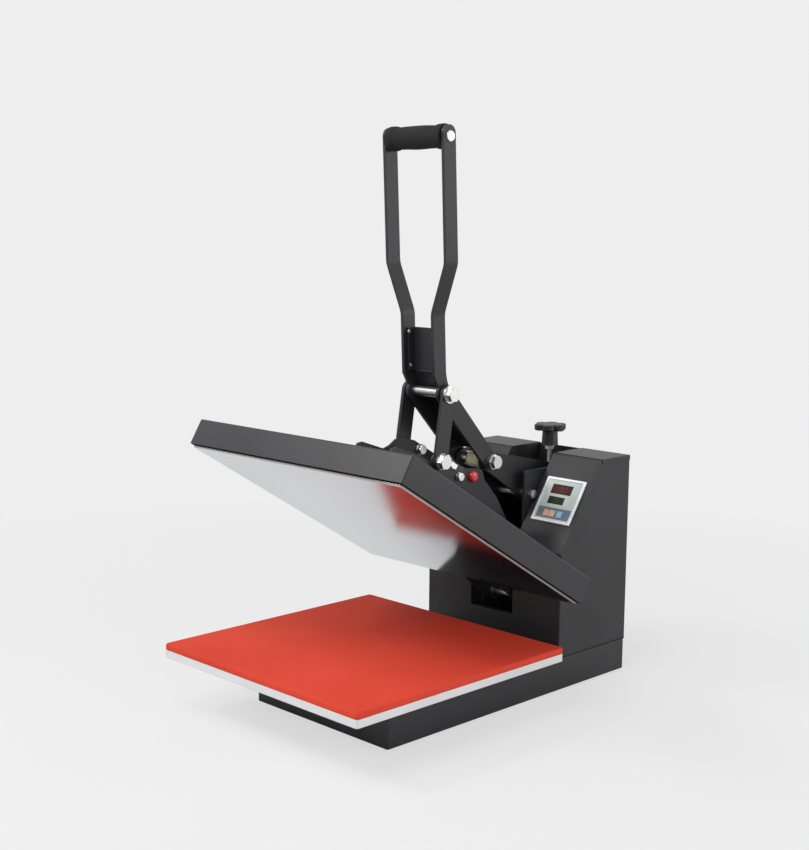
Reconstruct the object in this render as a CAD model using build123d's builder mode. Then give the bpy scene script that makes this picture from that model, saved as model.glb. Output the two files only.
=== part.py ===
from build123d import *
import os
from math import acos, atan2, cos, degrees, hypot, radians, sin

os.makedirs("parts", exist_ok=True)

# Driving dimensions, in millimetres and degrees

# Platens and the soft pad
pad_side = 380.0
pad_thickness = 8.7
pad_corner_radius = 4.0
lower_platen_thickness = 10.9
heating_plate_thickness = 20.0
heating_plate_gap = 2.5
heating_plate_proud = 3.5
heating_groove_depth = 8.0
press_gap = 0.4

# Base and feet
foot_height = 3.0
foot_diameter = 24.0
foot_inset = 17.0
base_width = 257.0
base_height = 46.0
base_front_ahead = 79.7
base_back_behind = 410.5
base_sheet = 2.0
base_lip = 30.0
rail_height = 25.0
rail_width = 50.0
rail_side_gap = 10.0
rail_spacing = 110.0
rail_sheet = 3.0

# Tower housings
tower_front_behind = 256.5
tower_height = 276.0
slope_rise = 126.0
slope_depth = 85.5
slot_width = 81.0
housing_sheet = 1.5
bend_radius = 3.0
sill_height = 46.5
sill_hem = 8.0
cap_sheet = 1.0
cap_lip = 7.0

# Inner frame plates and hinge
frame_thickness = 4.0
frame_half_spacing = 36.0
frame_front_behind = 279.0
frame_height = 255.0
hinge_behind = 303.0
hinge_above_pad = 17.4
hinge_shaft_diameter = 20.0
bush_wall = 3.0
running_fit = 0.05
open_angle = 31.1

# Upper cover and lift arm
cover_side_overhang = 14.25
cover_end_overhang = 9.85
cover_height = 36.9
cover_sheet = 1.5
arm_inner_half = 31.3
arm_thickness = 3.0
arm_base_width = 104.0
arm_base_thickness = 5.0
toggle_pin_reach = 215.6
toggle_pin_height = 104.9

# Toggle links, lever and rocker
toggle_pivot_depth = 87.7
toggle_pivot_height = 213.4
rocker_pivot_depth = 8.5
rocker_pivot_height = 158.0
rear_arm_length = 142.1
link_radius = 12.3
rear_arm_radius = 12.7
link_thickness = 5.0
lever_inner_half = 26.0
link_gap = 3.8
side_play = 0.4
pin_diameter = 12.0
hex_across_flats = 19.0
hex_height = 8.0
washer_diameter = 25.0
washer_thickness = 2.0
rocker_outer_half = 24.0
rocker_wall = 5.0

# Handle
bar_width = 23.0
bar_thickness = 5.0
bar_setback = 8.1
bar_bend_low_height = 109.0
bar_bend_high_height = 175.5
bar_bend_radius = 30.0
bar_taper_height = 28.0
handle_height = 356.2
handle_lean_depth = 17.5
grip_drop = 15.0
grip_half_width = 57.0
grip_diameter = 29.5
grip_flare_diameter = 33.0
knee_bar_radius = 7.0

# Pressure knob and screw
screw_depth = 80.5
screw_diameter = 8.0
screw_clearance = 0.8
knob_top_above_tower = 35.0
knob_head_height = 9.5
knob_diameter = 49.0
knob_lobes = 6
knob_hub_diameter = 25.0

# Control panel
panel_margin = 8.75
panel_side_offset = 2.2
panel_slope_length = 73.3
panel_frame_width = 4.0
panel_frame_proud = 2.5
key_travel = 0.8

# Rear fittings
rear_proud = 2.5

# Places worked out from the driving dimensions
# y runs to the rear and z up; the origin is under the middle of the whole depth
whole_depth = pad_side / 2 + base_back_behind + rear_proud
pad_y = pad_side / 2 - whole_depth / 2
base_bottom = foot_height
base_top = base_bottom + base_height
base_front_y = pad_y - base_front_ahead
base_back_y = pad_y + base_back_behind
base_length = base_back_y - base_front_y
base_middle_y = (base_front_y + base_back_y) / 2
platen_bottom = base_top + rail_height
platen_top = platen_bottom + lower_platen_thickness
pad_top = platen_top + pad_thickness
tower_front_y = pad_y + tower_front_behind
tower_top = base_top + tower_height
housing_inner = slot_width / 2
housing_outer = base_width / 2
housing_middle = (housing_inner + housing_outer) / 2
cover_width = pad_side + 2 * cover_side_overhang
cover_depth = pad_side + 2 * cover_end_overhang
slope_top = (tower_front_y + slope_depth, tower_top)
slope_foot = (tower_front_y, tower_top - slope_rise)
slope_length = hypot(slope_depth, slope_rise)
hinge = (pad_y + hinge_behind, pad_top + hinge_above_pad)
toggle_pivot = (hinge[0] - toggle_pivot_depth, hinge[1] + toggle_pivot_height)
rocker_pivot = (hinge[0] - rocker_pivot_depth, hinge[1] + rocker_pivot_height)


def swing(point, pivot, angle):
    """Turn a side-view point about a pivot; a positive angle takes +y towards +z."""
    y = point[0] - pivot[0]
    z = point[1] - pivot[1]
    a = radians(angle)
    return (pivot[0] + y * cos(a) - z * sin(a), pivot[1] + y * sin(a) + z * cos(a))


def bearing(start, end):
    """Direction of a side-view line in degrees from +y."""
    return degrees(atan2(end[1] - start[1], end[0] - start[0]))


def distance(start, end):
    return hypot(end[0] - start[0], end[1] - start[1])


# The lid is measured when shut, then swung open about the hinge
shut_front = (pad_y - cover_depth / 2, pad_top + press_gap + heating_plate_proud)
open_front = swing(shut_front, hinge, -open_angle)
lid_across = (0, cos(radians(open_angle)), -sin(radians(open_angle)))
lid_up = (0, sin(radians(open_angle)), cos(radians(open_angle)))
lid_plane = Plane(origin=(0, *open_front), x_dir=(1, 0, 0), z_dir=lid_up)
lid_side_plane = Plane(origin=(0, *open_front), x_dir=lid_across, z_dir=(1, 0, 0))
hinge_in_lid = (hinge[0] - shut_front[0], hinge[1] - shut_front[1])

# The toggle lies straight when shut, so the front link takes what the rear arm leaves
pin_in_lid = (toggle_pin_reach, toggle_pin_height)
pin_shut = (shut_front[0] + pin_in_lid[0], shut_front[1] + pin_in_lid[1])
pin_open = swing(pin_shut, hinge, -open_angle)
front_link_length = distance(pin_shut, toggle_pivot) - rear_arm_length
knee_shut_bearing = bearing(toggle_pivot, pin_shut) % 360
span_open = distance(toggle_pivot, pin_open)
knee_corner = degrees(
    acos((rear_arm_length**2 + span_open**2 - front_link_length**2) / (2 * rear_arm_length * span_open))
)
knee_bearing = bearing(toggle_pivot, pin_open) % 360 - knee_corner
knee = (
    toggle_pivot[0] + rear_arm_length * cos(radians(knee_bearing)),
    toggle_pivot[1] + rear_arm_length * sin(radians(knee_bearing)),
)
handle_turn = knee_shut_bearing - knee_bearing
link_turn = (knee_shut_bearing - bearing(knee, pin_open) % 360) - handle_turn

# Layers of the mechanism, counted from the middle of the machine outwards
lever_outer_half = lever_inner_half + link_thickness
link_inner_half = lever_outer_half + link_gap
link_outer_half = link_inner_half + link_thickness
pin_radius = pin_diameter / 2


# Four rubber feet, moulded with a small chamfer, stuck under the base lips
foot_x = base_width / 2 - foot_inset
foot_ys = (base_front_y + foot_inset, base_back_y - foot_inset)
with BuildPart() as base_feet:
    with BuildSketch(Plane.XY):
        with Locations(*[(x, y) for x in (-foot_x, foot_x) for y in foot_ys]):
            Circle(foot_diameter / 2)
    extrude(amount=foot_height)
    chamfer(base_feet.faces().group_by(Axis.Z)[0].edges(), length=0.8)
base_feet.part.label = "base_feet"
export_step(base_feet.part, "parts/base_feet.step")


# Base: one folded sheet, open below, with lips turned in for stiffness
with BuildPart() as base_channel:
    with BuildSketch(Plane.XY.offset(base_bottom)):
        with Locations((0, base_middle_y)):
            Rectangle(base_width, base_length)
    extrude(amount=base_height)
    fillet(base_channel.edges().filter_by(Axis.Z), radius=bend_radius)
    fillet(base_channel.faces().sort_by(Axis.Z)[-1].edges(), radius=bend_radius)
    offset(amount=-base_sheet, openings=base_channel.faces().sort_by(Axis.Z)[0])
    with BuildSketch(Plane.XY.offset(base_bottom)):
        with Locations((0, base_middle_y)):
            Rectangle(base_width - 2 * base_sheet, base_length - 2 * base_sheet)
            Rectangle(base_width - 2 * base_lip, base_length - 2 * base_lip, mode=Mode.SUBTRACT)
    extrude(amount=base_sheet)
base_channel.part.label = "base_channel"
export_step(base_channel.part, "parts/base_channel.step")


# Two folded rails that carry the lower platen on the base
rail_half = base_width / 2 - rail_side_gap
with BuildPart() as platen_rails:
    for rail_y in (pad_y - rail_spacing / 2, pad_y + rail_spacing / 2):
        with BuildSketch(Plane.YZ.offset(-rail_half)):
            with Locations((rail_y, base_top + rail_height / 2)):
                Rectangle(rail_width, rail_height)
            with Locations((rail_y, base_top + (rail_height - rail_sheet) / 2)):
                Rectangle(rail_width - 2 * rail_sheet, rail_height - rail_sheet, mode=Mode.SUBTRACT)
        extrude(amount=2 * rail_half)
    fillet(platen_rails.faces().group_by(Axis.Z)[-1].edges().filter_by(Axis.X), radius=bend_radius)
platen_rails.part.label = "platen_rails"
export_step(platen_rails.part, "parts/platen_rails.step")


# Lower platen: a flat plate with an eased lower rim
with BuildPart() as lower_platen:
    with BuildSketch(Plane.XY.offset(platen_bottom)):
        with Locations((0, pad_y)):
            RectangleRounded(pad_side, pad_side, pad_corner_radius)
    extrude(amount=lower_platen_thickness)
    chamfer(lower_platen.faces().sort_by(Axis.Z)[0].edges(), length=0.8)
lower_platen.part.label = "lower_platen"
export_step(lower_platen.part, "parts/lower_platen.step")


# Soft silicone pad on the lower platen
with BuildPart() as silicone_pad:
    with BuildSketch(Plane.XY.offset(platen_top)):
        with Locations((0, pad_y)):
            RectangleRounded(pad_side, pad_side, pad_corner_radius)
    extrude(amount=pad_thickness)
    fillet(silicone_pad.faces().sort_by(Axis.Z)[-1].edges(), radius=1.5)
silicone_pad.part.label = "silicone_pad"
export_step(silicone_pad.part, "parts/silicone_pad.step")


# Place of the control panel on the slope of the right housing
slope_up = (0, slope_depth / slope_length, slope_rise / slope_length)
slope_out = (0, -slope_rise / slope_length, slope_depth / slope_length)
panel_spot = (
    slope_top[0] - panel_slope_length * slope_up[1],
    slope_top[1] - panel_slope_length * slope_up[2],
)
panel_side = housing_outer - housing_inner - 2 * panel_margin
panel_plane = Plane(
    origin=(housing_middle + panel_side_offset, *panel_spot), x_dir=(1, 0, 0), z_dir=slope_out
)
face_side = panel_side - 2 * panel_frame_width
controller_side = face_side - 4.0
hole_clearance = 0.5


# Tower housings: a folded shell on each side of the slot, open at the rear and below
rear_sheet_y = base_back_y - housing_sheet


def housing_outline():
    """Side view of a tower housing: upright front, long slope, flat top."""
    with BuildLine() as outline:
        Polyline(
            (tower_front_y, base_top),
            slope_foot,
            (slope_top[0], slope_top[1] - cap_sheet),
            (rear_sheet_y, tower_top - cap_sheet),
            (rear_sheet_y, base_top),
            close=True,
        )
    return outline.line


for side, near_x in (("left", -housing_outer), ("right", housing_inner)):
    with BuildPart() as housing:
        with BuildSketch(Plane.YZ.offset(near_x)):
            add(housing_outline())
            make_face()
        extrude(amount=housing_outer - housing_inner)
        bends = housing.edges().filter_by(Axis.X).filter_by_position(
            Axis.Y, tower_front_y - 1, slope_top[0] + 1
        ).filter_by_position(Axis.Z, base_top + 1, tower_top + 1)
        fillet(bends, radius=bend_radius + housing_sheet)
        outer_face = housing.faces().sort_by(Axis.X)[0 if side == "left" else -1]
        seams = outer_face.edges().filter_by_position(Axis.Y, tower_front_y - 1, rear_sheet_y - 1)
        fillet(seams.filter_by_position(Axis.Z, base_top + 1, tower_top + 1), radius=bend_radius - 1.0)
        openings = [housing.faces().sort_by(Axis.Y)[-1], housing.faces().sort_by(Axis.Z)[0]]
        offset(amount=-housing_sheet, openings=openings)
        if side == "right":
            with BuildSketch(panel_plane.offset(1.0)):
                Rectangle(controller_side + 2 * hole_clearance, controller_side + 2 * hole_clearance)
            extrude(amount=-1.0 - 2 * housing_sheet, mode=Mode.SUBTRACT)
    housing.part.label = f"{side}_housing"
    export_step(housing.part, f"parts/{side}_housing.step")


# Top caps: folded trays over both housings, with a lip down each outer side
cap_front_y = slope_top[0] + 3.0
cap_inside = housing_outer + 0.05
cap_outside = cap_inside + cap_sheet
with BuildPart() as top_caps:
    with BuildSketch(Plane.XZ.offset(-cap_front_y)):
        with BuildLine():
            Polyline(
                (housing_inner, tower_top - cap_sheet),
                (cap_inside, tower_top - cap_sheet),
                (cap_inside, tower_top - cap_lip),
                (cap_outside, tower_top - cap_lip),
                (cap_outside, tower_top),
                (housing_inner, tower_top),
                close=True,
            )
        make_face()
    extrude(amount=-(base_back_y - cap_front_y))
    corner = top_caps.edges().filter_by(Axis.Y).sort_by_distance((cap_outside, cap_front_y, tower_top))[0]
    fillet(corner, radius=1.5)
    mirror(about=Plane.YZ)
top_caps.part.label = "top_caps"
export_step(top_caps.part, "parts/top_caps.step")


# Front sill: the sheet that closes the slot's lower end
with BuildPart() as front_sill:
    with BuildSketch(Plane.YZ.offset(-housing_inner)):
        with BuildLine():
            Polyline(
                (tower_front_y, base_top),
                (tower_front_y, base_top + sill_height),
                (tower_front_y + sill_hem, base_top + sill_height),
                (tower_front_y + sill_hem, base_top + sill_height - housing_sheet),
                (tower_front_y + housing_sheet, base_top + sill_height - housing_sheet),
                (tower_front_y + housing_sheet, base_top),
                close=True,
            )
        make_face()
    extrude(amount=slot_width)
    fillet(
        front_sill.edges().filter_by(Axis.X).sort_by_distance((0, tower_front_y, base_top + sill_height))[0],
        radius=1.2,
    )
front_sill.part.label = "front_sill"
export_step(front_sill.part, "parts/front_sill.step")


# Rear fittings: places of the inlet and the switch
fitting_z = base_top + 60.0
inlet_x = housing_middle
switch_x = -housing_middle
inlet_size = (28.0, 22.0)
switch_size = (21.0, 15.0)
vent_height = 200.0
vent_spacing = 11.0
vent_length = 50.0
vent_width = 4.0
vent_count = 6

# Rear panel: sheet that closes both housings and the slot, with air slots
with BuildPart() as rear_panel:
    with BuildSketch(Plane.XZ.offset(-rear_sheet_y)):
        with Locations((0, base_top + (tower_height - cap_sheet) / 2)):
            Rectangle(base_width, tower_height - cap_sheet)
        with Locations((inlet_x, fitting_z)):
            Rectangle(*inlet_size, mode=Mode.SUBTRACT)
        with Locations((switch_x, fitting_z)):
            Rectangle(*switch_size, mode=Mode.SUBTRACT)
        for vent_x in (-inlet_x, inlet_x):
            with Locations((vent_x, base_top + vent_height)):
                with GridLocations(0, vent_spacing, 1, vent_count):
                    SlotOverall(vent_length, vent_width, mode=Mode.SUBTRACT)
    extrude(amount=-housing_sheet)
rear_panel.part.label = "rear_panel"
export_step(rear_panel.part, "parts/rear_panel.step")


# Inner frame plates: thick steel, each with a foot turned into the slot
frame_top = base_top + frame_height
frame_back_y = hinge[0] + 95.0
frame_foot = 18.0
for side, sign in (("left", -1), ("right", 1)):
    inner_x = sign * frame_half_spacing
    with BuildPart() as frame_plate:
        with BuildSketch(Plane.YZ.offset(inner_x)):
            with BuildLine():
                Polyline(
                    (pad_y + frame_front_behind, base_top),
                    (pad_y + frame_front_behind, frame_top),
                    (pad_y + frame_front_behind + 62.0, frame_top),
                    (frame_back_y, frame_top - 38.0),
                    (frame_back_y, base_top),
                    close=True,
                )
            make_face()
            with Locations(hinge):
                Circle(hinge_shaft_diameter / 2, mode=Mode.SUBTRACT)
            with Locations(rocker_pivot):
                Circle(pin_radius, mode=Mode.SUBTRACT)
        extrude(amount=sign * frame_thickness)
        fillet(
            frame_plate.edges().filter_by(Axis.X).filter_by_position(
                Axis.Z, frame_top - 39.0, frame_top + 1.0
            ),
            radius=4.0,
        )
        with BuildSketch(Plane.XY.offset(base_top)):
            with Locations((inner_x - sign * frame_foot / 2, (hinge[0] + frame_back_y) / 2)):
                Rectangle(frame_foot, frame_back_y - hinge[0])
        extrude(amount=frame_thickness)
    frame_plate.part.label = f"{side}_frame_plate"
    export_step(frame_plate.part, f"parts/{side}_frame_plate.step")


# Hinge shaft through both frame plates, with a retaining ring groove at each end
shaft_end = frame_half_spacing + frame_thickness
with BuildPart() as hinge_shaft:
    with BuildSketch(Plane.YZ.offset(-shaft_end)):
        with Locations(hinge):
            Circle(hinge_shaft_diameter / 2)
    extrude(amount=2 * shaft_end)
    chamfer(hinge_shaft.edges().filter_by(GeomType.CIRCLE), length=0.8)
hinge_shaft.part.label = "hinge_shaft"
export_step(hinge_shaft.part, "parts/hinge_shaft.step")


# Screw seat: block between the frame plates that takes the pressure screw's thrust
screw_y = hinge[0] + screw_depth
seat_top = rocker_pivot[1] - 8.0
seat_depth = 22.0
seat_cup = 4.0
with BuildPart() as screw_seat:
    with BuildSketch(Plane.XY.offset(seat_top - 18.0)):
        with Locations((0, screw_y)):
            Rectangle(2 * frame_half_spacing, seat_depth)
    extrude(amount=18.0)
    chamfer(screw_seat.faces().sort_by(Axis.Z)[-1].edges(), length=1.0)
    with Locations((0, screw_y, seat_top)):
        Hole(screw_diameter / 2 + screw_clearance, depth=seat_cup)
screw_seat.part.label = "screw_seat"
export_step(screw_seat.part, "parts/screw_seat.step")


# Rocker: folded channel that hangs on its pivot and carries the toggle's rear pin
rocker_eye = 14.0
rocker_back_y = screw_y + 15.0
rocker_front_top = (toggle_pivot[0], toggle_pivot[1] + rocker_eye)
rocker_back_top = rocker_front_top[1] - 41.0
with BuildPart() as pressure_rocker:
    with BuildSketch(Plane.YZ.offset(-rocker_outer_half)):
        with BuildLine():
            Polyline(
                rocker_front_top,
                (rocker_back_y, rocker_back_top),
                (rocker_back_y, rocker_back_top - 16.0),
                (rocker_pivot[0] + 16.0, rocker_pivot[1]),
                (rocker_pivot[0], rocker_pivot[1] - rocker_eye),
                (rocker_pivot[0] - rocker_eye, rocker_pivot[1]),
                (toggle_pivot[0], toggle_pivot[1] - rocker_eye),
                close=True,
            )
        make_face()
        with Locations(toggle_pivot):
            Circle(rocker_eye)
    extrude(amount=2 * rocker_outer_half)
    with BuildSketch(Plane.YZ.offset(-rocker_outer_half + rocker_wall)):
        with BuildLine():
            Polyline(
                (rocker_front_top[0] - 30.0, rocker_front_top[1] - rocker_wall),
                (rocker_front_top[0], rocker_front_top[1] - rocker_wall),
                (rocker_back_y + 1.0, rocker_back_top - rocker_wall),
                (rocker_back_y + 1.0, rocker_pivot[1] - 2 * rocker_eye),
                (rocker_front_top[0] - 30.0, rocker_pivot[1] - 2 * rocker_eye),
                close=True,
            )
        make_face()
    extrude(amount=2 * (rocker_outer_half - rocker_wall), mode=Mode.SUBTRACT)
    with BuildSketch(Plane.XY.offset(rocker_back_top - rocker_wall - 1.0)):
        with Locations((0, screw_y)):
            Circle(screw_diameter / 2 + 2 * screw_clearance)
        with Locations((0, toggle_pivot[0] - rocker_eye)):
            Rectangle(2 * (rocker_outer_half - rocker_wall), 4 * rocker_eye)
    extrude(amount=60.0, mode=Mode.SUBTRACT)
    with BuildSketch(Plane.YZ.offset(-rocker_outer_half)):
        with Locations(toggle_pivot):
            Circle(pin_radius)
        with Locations(rocker_pivot):
            Circle(pin_radius + running_fit)
    extrude(amount=2 * rocker_outer_half, mode=Mode.SUBTRACT)
pressure_rocker.part.label = "pressure_rocker"
export_step(pressure_rocker.part, "parts/pressure_rocker.step")


def hex_bolt(plane, shank_radius, shank_length, head_flats=hex_across_flats, head_height=hex_height):
    """A hexagon bolt whose head sits on the plane and whose shank runs the other way."""
    with BuildPart() as bolt:
        with BuildSketch(plane):
            RegularPolygon(head_flats / 2, 6, major_radius=False)
        extrude(amount=head_height)
        if shank_length > 0:
            with BuildSketch(plane):
                Circle(shank_radius)
            extrude(amount=-shank_length)
        with BuildSketch(plane.offset(head_height - 1.2)):
            Circle(head_flats)
            Circle(head_flats / 2, mode=Mode.SUBTRACT)
        extrude(amount=1.3, taper=0, mode=Mode.SUBTRACT)
    return bolt.part


def across(point, x, outward):
    """Sketch plane square to the machine's width at a side-view point."""
    return Plane(origin=(x, *point), x_dir=(0, 1, 0), z_dir=(outward, 0, 0))


# Rocker pivot bolt: passes through both frame plates and the rocker
small_flats = 12.0
with BuildPart() as rocker_pivot_bolt:
    add(hex_bolt(across(rocker_pivot, shaft_end, 1), pin_radius, 2 * shaft_end, small_flats, 5.5))
    add(hex_bolt(across(rocker_pivot, -shaft_end, -1), pin_radius, 2.0, small_flats, 5.5))
rocker_pivot_bolt.part.label = "rocker_pivot_bolt"
export_step(rocker_pivot_bolt.part, "parts/rocker_pivot_bolt.step")


# Toggle pin: fixed in the rocker, with a spacer, a head and washers on it
spacer_length = 6.0
toggle_pin_end = lever_outer_half + side_play + spacer_length
with BuildPart() as toggle_pin:
    with BuildSketch(across(toggle_pivot, -toggle_pin_end, 1)):
        Circle(pin_radius)
    extrude(amount=2 * toggle_pin_end)
toggle_pin.part.label = "toggle_pin"
export_step(toggle_pin.part, "parts/toggle_pin.step")

roller_radius = 11.5
roller_left_x = -9.0
roller_right_x = 15.0
roller_gap = 0.4
rocker_inner_half = rocker_outer_half - rocker_wall
washer_middle_x = (roller_left_x - rocker_inner_half) / 2
with BuildPart() as toggle_pin_ends:
    for outward in (-1, 1):
        with BuildSketch(across(toggle_pivot, outward * (lever_outer_half + side_play), outward)):
            Circle(pin_radius + 4.5)
            Circle(pin_radius, mode=Mode.SUBTRACT)
        extrude(amount=spacer_length)
        add(hex_bolt(across(toggle_pivot, outward * toggle_pin_end, outward), 0, 0, 17.0, 7.0))
    for start_x, end_x in (
        (roller_right_x + roller_gap, rocker_inner_half),
        (-rocker_inner_half, washer_middle_x - roller_gap),
        (washer_middle_x, roller_left_x - roller_gap),
    ):
        with BuildSketch(across(toggle_pivot, start_x, 1)):
            Circle(roller_radius - 1.5)
            Circle(pin_radius, mode=Mode.SUBTRACT)
        extrude(amount=end_x - start_x)
toggle_pin_ends.part.label = "toggle_pin_ends"
export_step(toggle_pin_ends.part, "parts/toggle_pin_ends.step")

# Nylon roller on the toggle pin between the rocker's walls
with BuildPart() as toggle_roller:
    with BuildSketch(across(toggle_pivot, roller_left_x, 1)):
        Circle(roller_radius)
        Circle(pin_radius, mode=Mode.SUBTRACT)
    extrude(amount=roller_right_x - roller_left_x)
    rims = toggle_roller.edges().filter_by(GeomType.CIRCLE)
    chamfer([rim for rim in rims if rim.radius > pin_radius + 1.0], length=3.0)
toggle_roller.part.label = "toggle_roller"
export_step(toggle_roller.part, "parts/toggle_roller.step")


# Screw nut: a barrel nut across the rocker, which climbs on the screw as it turns
nut_radius = 8.0
nut_drop = (screw_y - toggle_pivot[0]) / (rocker_back_y - toggle_pivot[0]) * (rocker_front_top[1] - rocker_back_top)
nut_z = rocker_front_top[1] - nut_drop - rocker_wall - nut_radius - 1.5
with BuildPart() as screw_nut:
    with BuildSketch(across((screw_y, nut_z), -rocker_outer_half + rocker_wall, 1)):
        Circle(nut_radius)
    extrude(amount=2 * (rocker_outer_half - rocker_wall))
    with BuildSketch(Plane.XY.offset(nut_z - nut_radius - 1.0)):
        with Locations((0, screw_y)):
            Circle(screw_diameter / 2 + screw_clearance)
    extrude(amount=2 * nut_radius + 2.0, mode=Mode.SUBTRACT)
screw_nut.part.label = "screw_nut"
export_step(screw_nut.part, "parts/screw_nut.step")


# Pressure screw: threaded rod with a rounded tip in the seat and a collar under the knob
knob_top = tower_top + knob_top_above_tower
hub_bottom = tower_top + 3.0
screw_tip = seat_top - seat_cup + 0.3
with BuildPart() as pressure_screw:
    with BuildSketch(Plane.XY.offset(screw_tip)):
        with Locations((0, screw_y)):
            Circle(screw_diameter / 2)
    extrude(amount=hub_bottom - screw_tip)
    fillet(pressure_screw.edges().filter_by(GeomType.CIRCLE).sort_by(Axis.Z)[0], radius=2.5)
pressure_screw.part.label = "pressure_screw"
export_step(pressure_screw.part, "parts/pressure_screw.step")

with BuildPart() as screw_collar:
    with BuildSketch(Plane.XY.offset(hub_bottom - 6.5)):
        with Locations((0, screw_y)):
            RegularPolygon(6.5, 6, major_radius=False)
            Circle(screw_diameter / 2, mode=Mode.SUBTRACT)
    extrude(amount=5.0)
    with BuildSketch(Plane.XY.offset(hub_bottom - 1.5)):
        with Locations((0, screw_y)):
            Circle(9.0)
            Circle(screw_diameter / 2, mode=Mode.SUBTRACT)
    extrude(amount=1.5)
screw_collar.part.label = "screw_collar"
export_step(screw_collar.part, "parts/screw_collar.step")


# Star knob: lobed head with hollows between the lobes, on a stepped hub
lobe_radius = 9.6
lobe_circle = knob_diameter / 2 - lobe_radius
with BuildPart() as pressure_knob:
    with BuildSketch(Plane.XY.offset(knob_top - knob_head_height)):
        with Locations((0, screw_y)):
            Circle(lobe_circle + 1.0)
            with PolarLocations(lobe_circle, knob_lobes):
                Circle(lobe_radius)
    extrude(amount=knob_head_height)
    chamfer(pressure_knob.faces().sort_by(Axis.Z)[-1].edges(), length=1.5)
    chamfer(pressure_knob.faces().sort_by(Axis.Z)[0].edges(), length=1.5)
    with BuildSketch(Plane.XY.offset(hub_bottom)):
        with Locations((0, screw_y)):
            Circle(knob_hub_diameter / 2)
    extrude(amount=knob_top - knob_head_height - hub_bottom + 0.5, taper=3)
pressure_knob.part.label = "pressure_knob"
export_step(pressure_knob.part, "parts/pressure_knob.step")


def flat_link(start, end, near_x, radius_start, radius_end, bore_start, bore_end):
    """A flat bar with round ends and a bored eye at each pivot."""
    with BuildPart() as link:
        with BuildSketch(Plane.YZ.offset(near_x)):
            with Locations(start):
                Circle(radius_start)
            with Locations(end):
                Circle(radius_end)
            make_hull()
            with Locations(start):
                Circle(bore_start, mode=Mode.SUBTRACT)
            with Locations(end):
                Circle(bore_end, mode=Mode.SUBTRACT)
        extrude(amount=link_thickness)
    return link.part


# Rear arms: from the rocker's toggle pin up to the knee
for side, near_x in (("left", -lever_outer_half), ("right", lever_inner_half)):
    with BuildPart() as rear_arm:
        add(flat_link(toggle_pivot, knee, near_x, rear_arm_radius, rear_arm_radius + 1.0,
                      pin_radius + running_fit, pin_radius))
    rear_arm.part.label = f"{side}_rear_arm"
    export_step(rear_arm.part, f"parts/{side}_rear_arm.step")


# Front links: from the knee down to the pins on the lift arm
for side, near_x in (("left", -link_outer_half), ("right", link_inner_half)):
    with BuildPart() as front_link:
        add(flat_link(knee, pin_open, near_x, link_radius, link_radius, pin_radius + running_fit, pin_radius))
    front_link.part.label = f"{side}_front_link"
    export_step(front_link.part, f"parts/{side}_front_link.step")


# Link pins: bolt, washer and short shank that turn with the front links
link_pin_reach = link_outer_half - link_inner_half
with BuildPart() as link_pins:
    for outward in (-1, 1):
        face_x = outward * link_outer_half
        with BuildSketch(across(pin_open, face_x, outward)):
            Circle(washer_diameter / 2 - 1.5)
        extrude(amount=washer_thickness)
        add(hex_bolt(across(pin_open, outward * (link_outer_half + washer_thickness), outward),
                     pin_radius, washer_thickness + link_pin_reach))
link_pins.part.label = "link_pins"
export_step(link_pins.part, "parts/link_pins.step")


# Knee shaft: round bar fixed in the lever bars, headed on the left, bolted on the right
knee_end = link_outer_half + side_play
with BuildPart() as knee_shaft:
    with BuildSketch(across(knee, -knee_end, 1)):
        Circle(pin_radius)
    extrude(amount=2 * knee_end)
    with BuildSketch(across(knee, -lever_inner_half, 1)):
        Circle(knee_bar_radius)
    extrude(amount=2 * lever_inner_half)
    for outward in (-1, 1):
        with BuildSketch(across(knee, outward * lever_outer_half, outward)):
            Circle(pin_radius + 3.0)
        extrude(amount=link_gap - side_play)
    with BuildSketch(across(knee, -knee_end, -1)):
        Circle(pin_radius + 3.0)
    extrude(amount=washer_thickness)
knee_shaft.part.label = "knee_shaft"
export_step(knee_shaft.part, "parts/knee_shaft.step")

with BuildPart() as knee_bolt:
    with BuildSketch(across(knee, knee_end, 1)):
        Circle(washer_diameter / 2)
    extrude(amount=washer_thickness)
    add(hex_bolt(across(knee, knee_end + washer_thickness, 1), 5.0, 1.0))
knee_bolt.part.label = "knee_bolt"
export_step(knee_bolt.part, "parts/knee_bolt.step")


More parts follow.
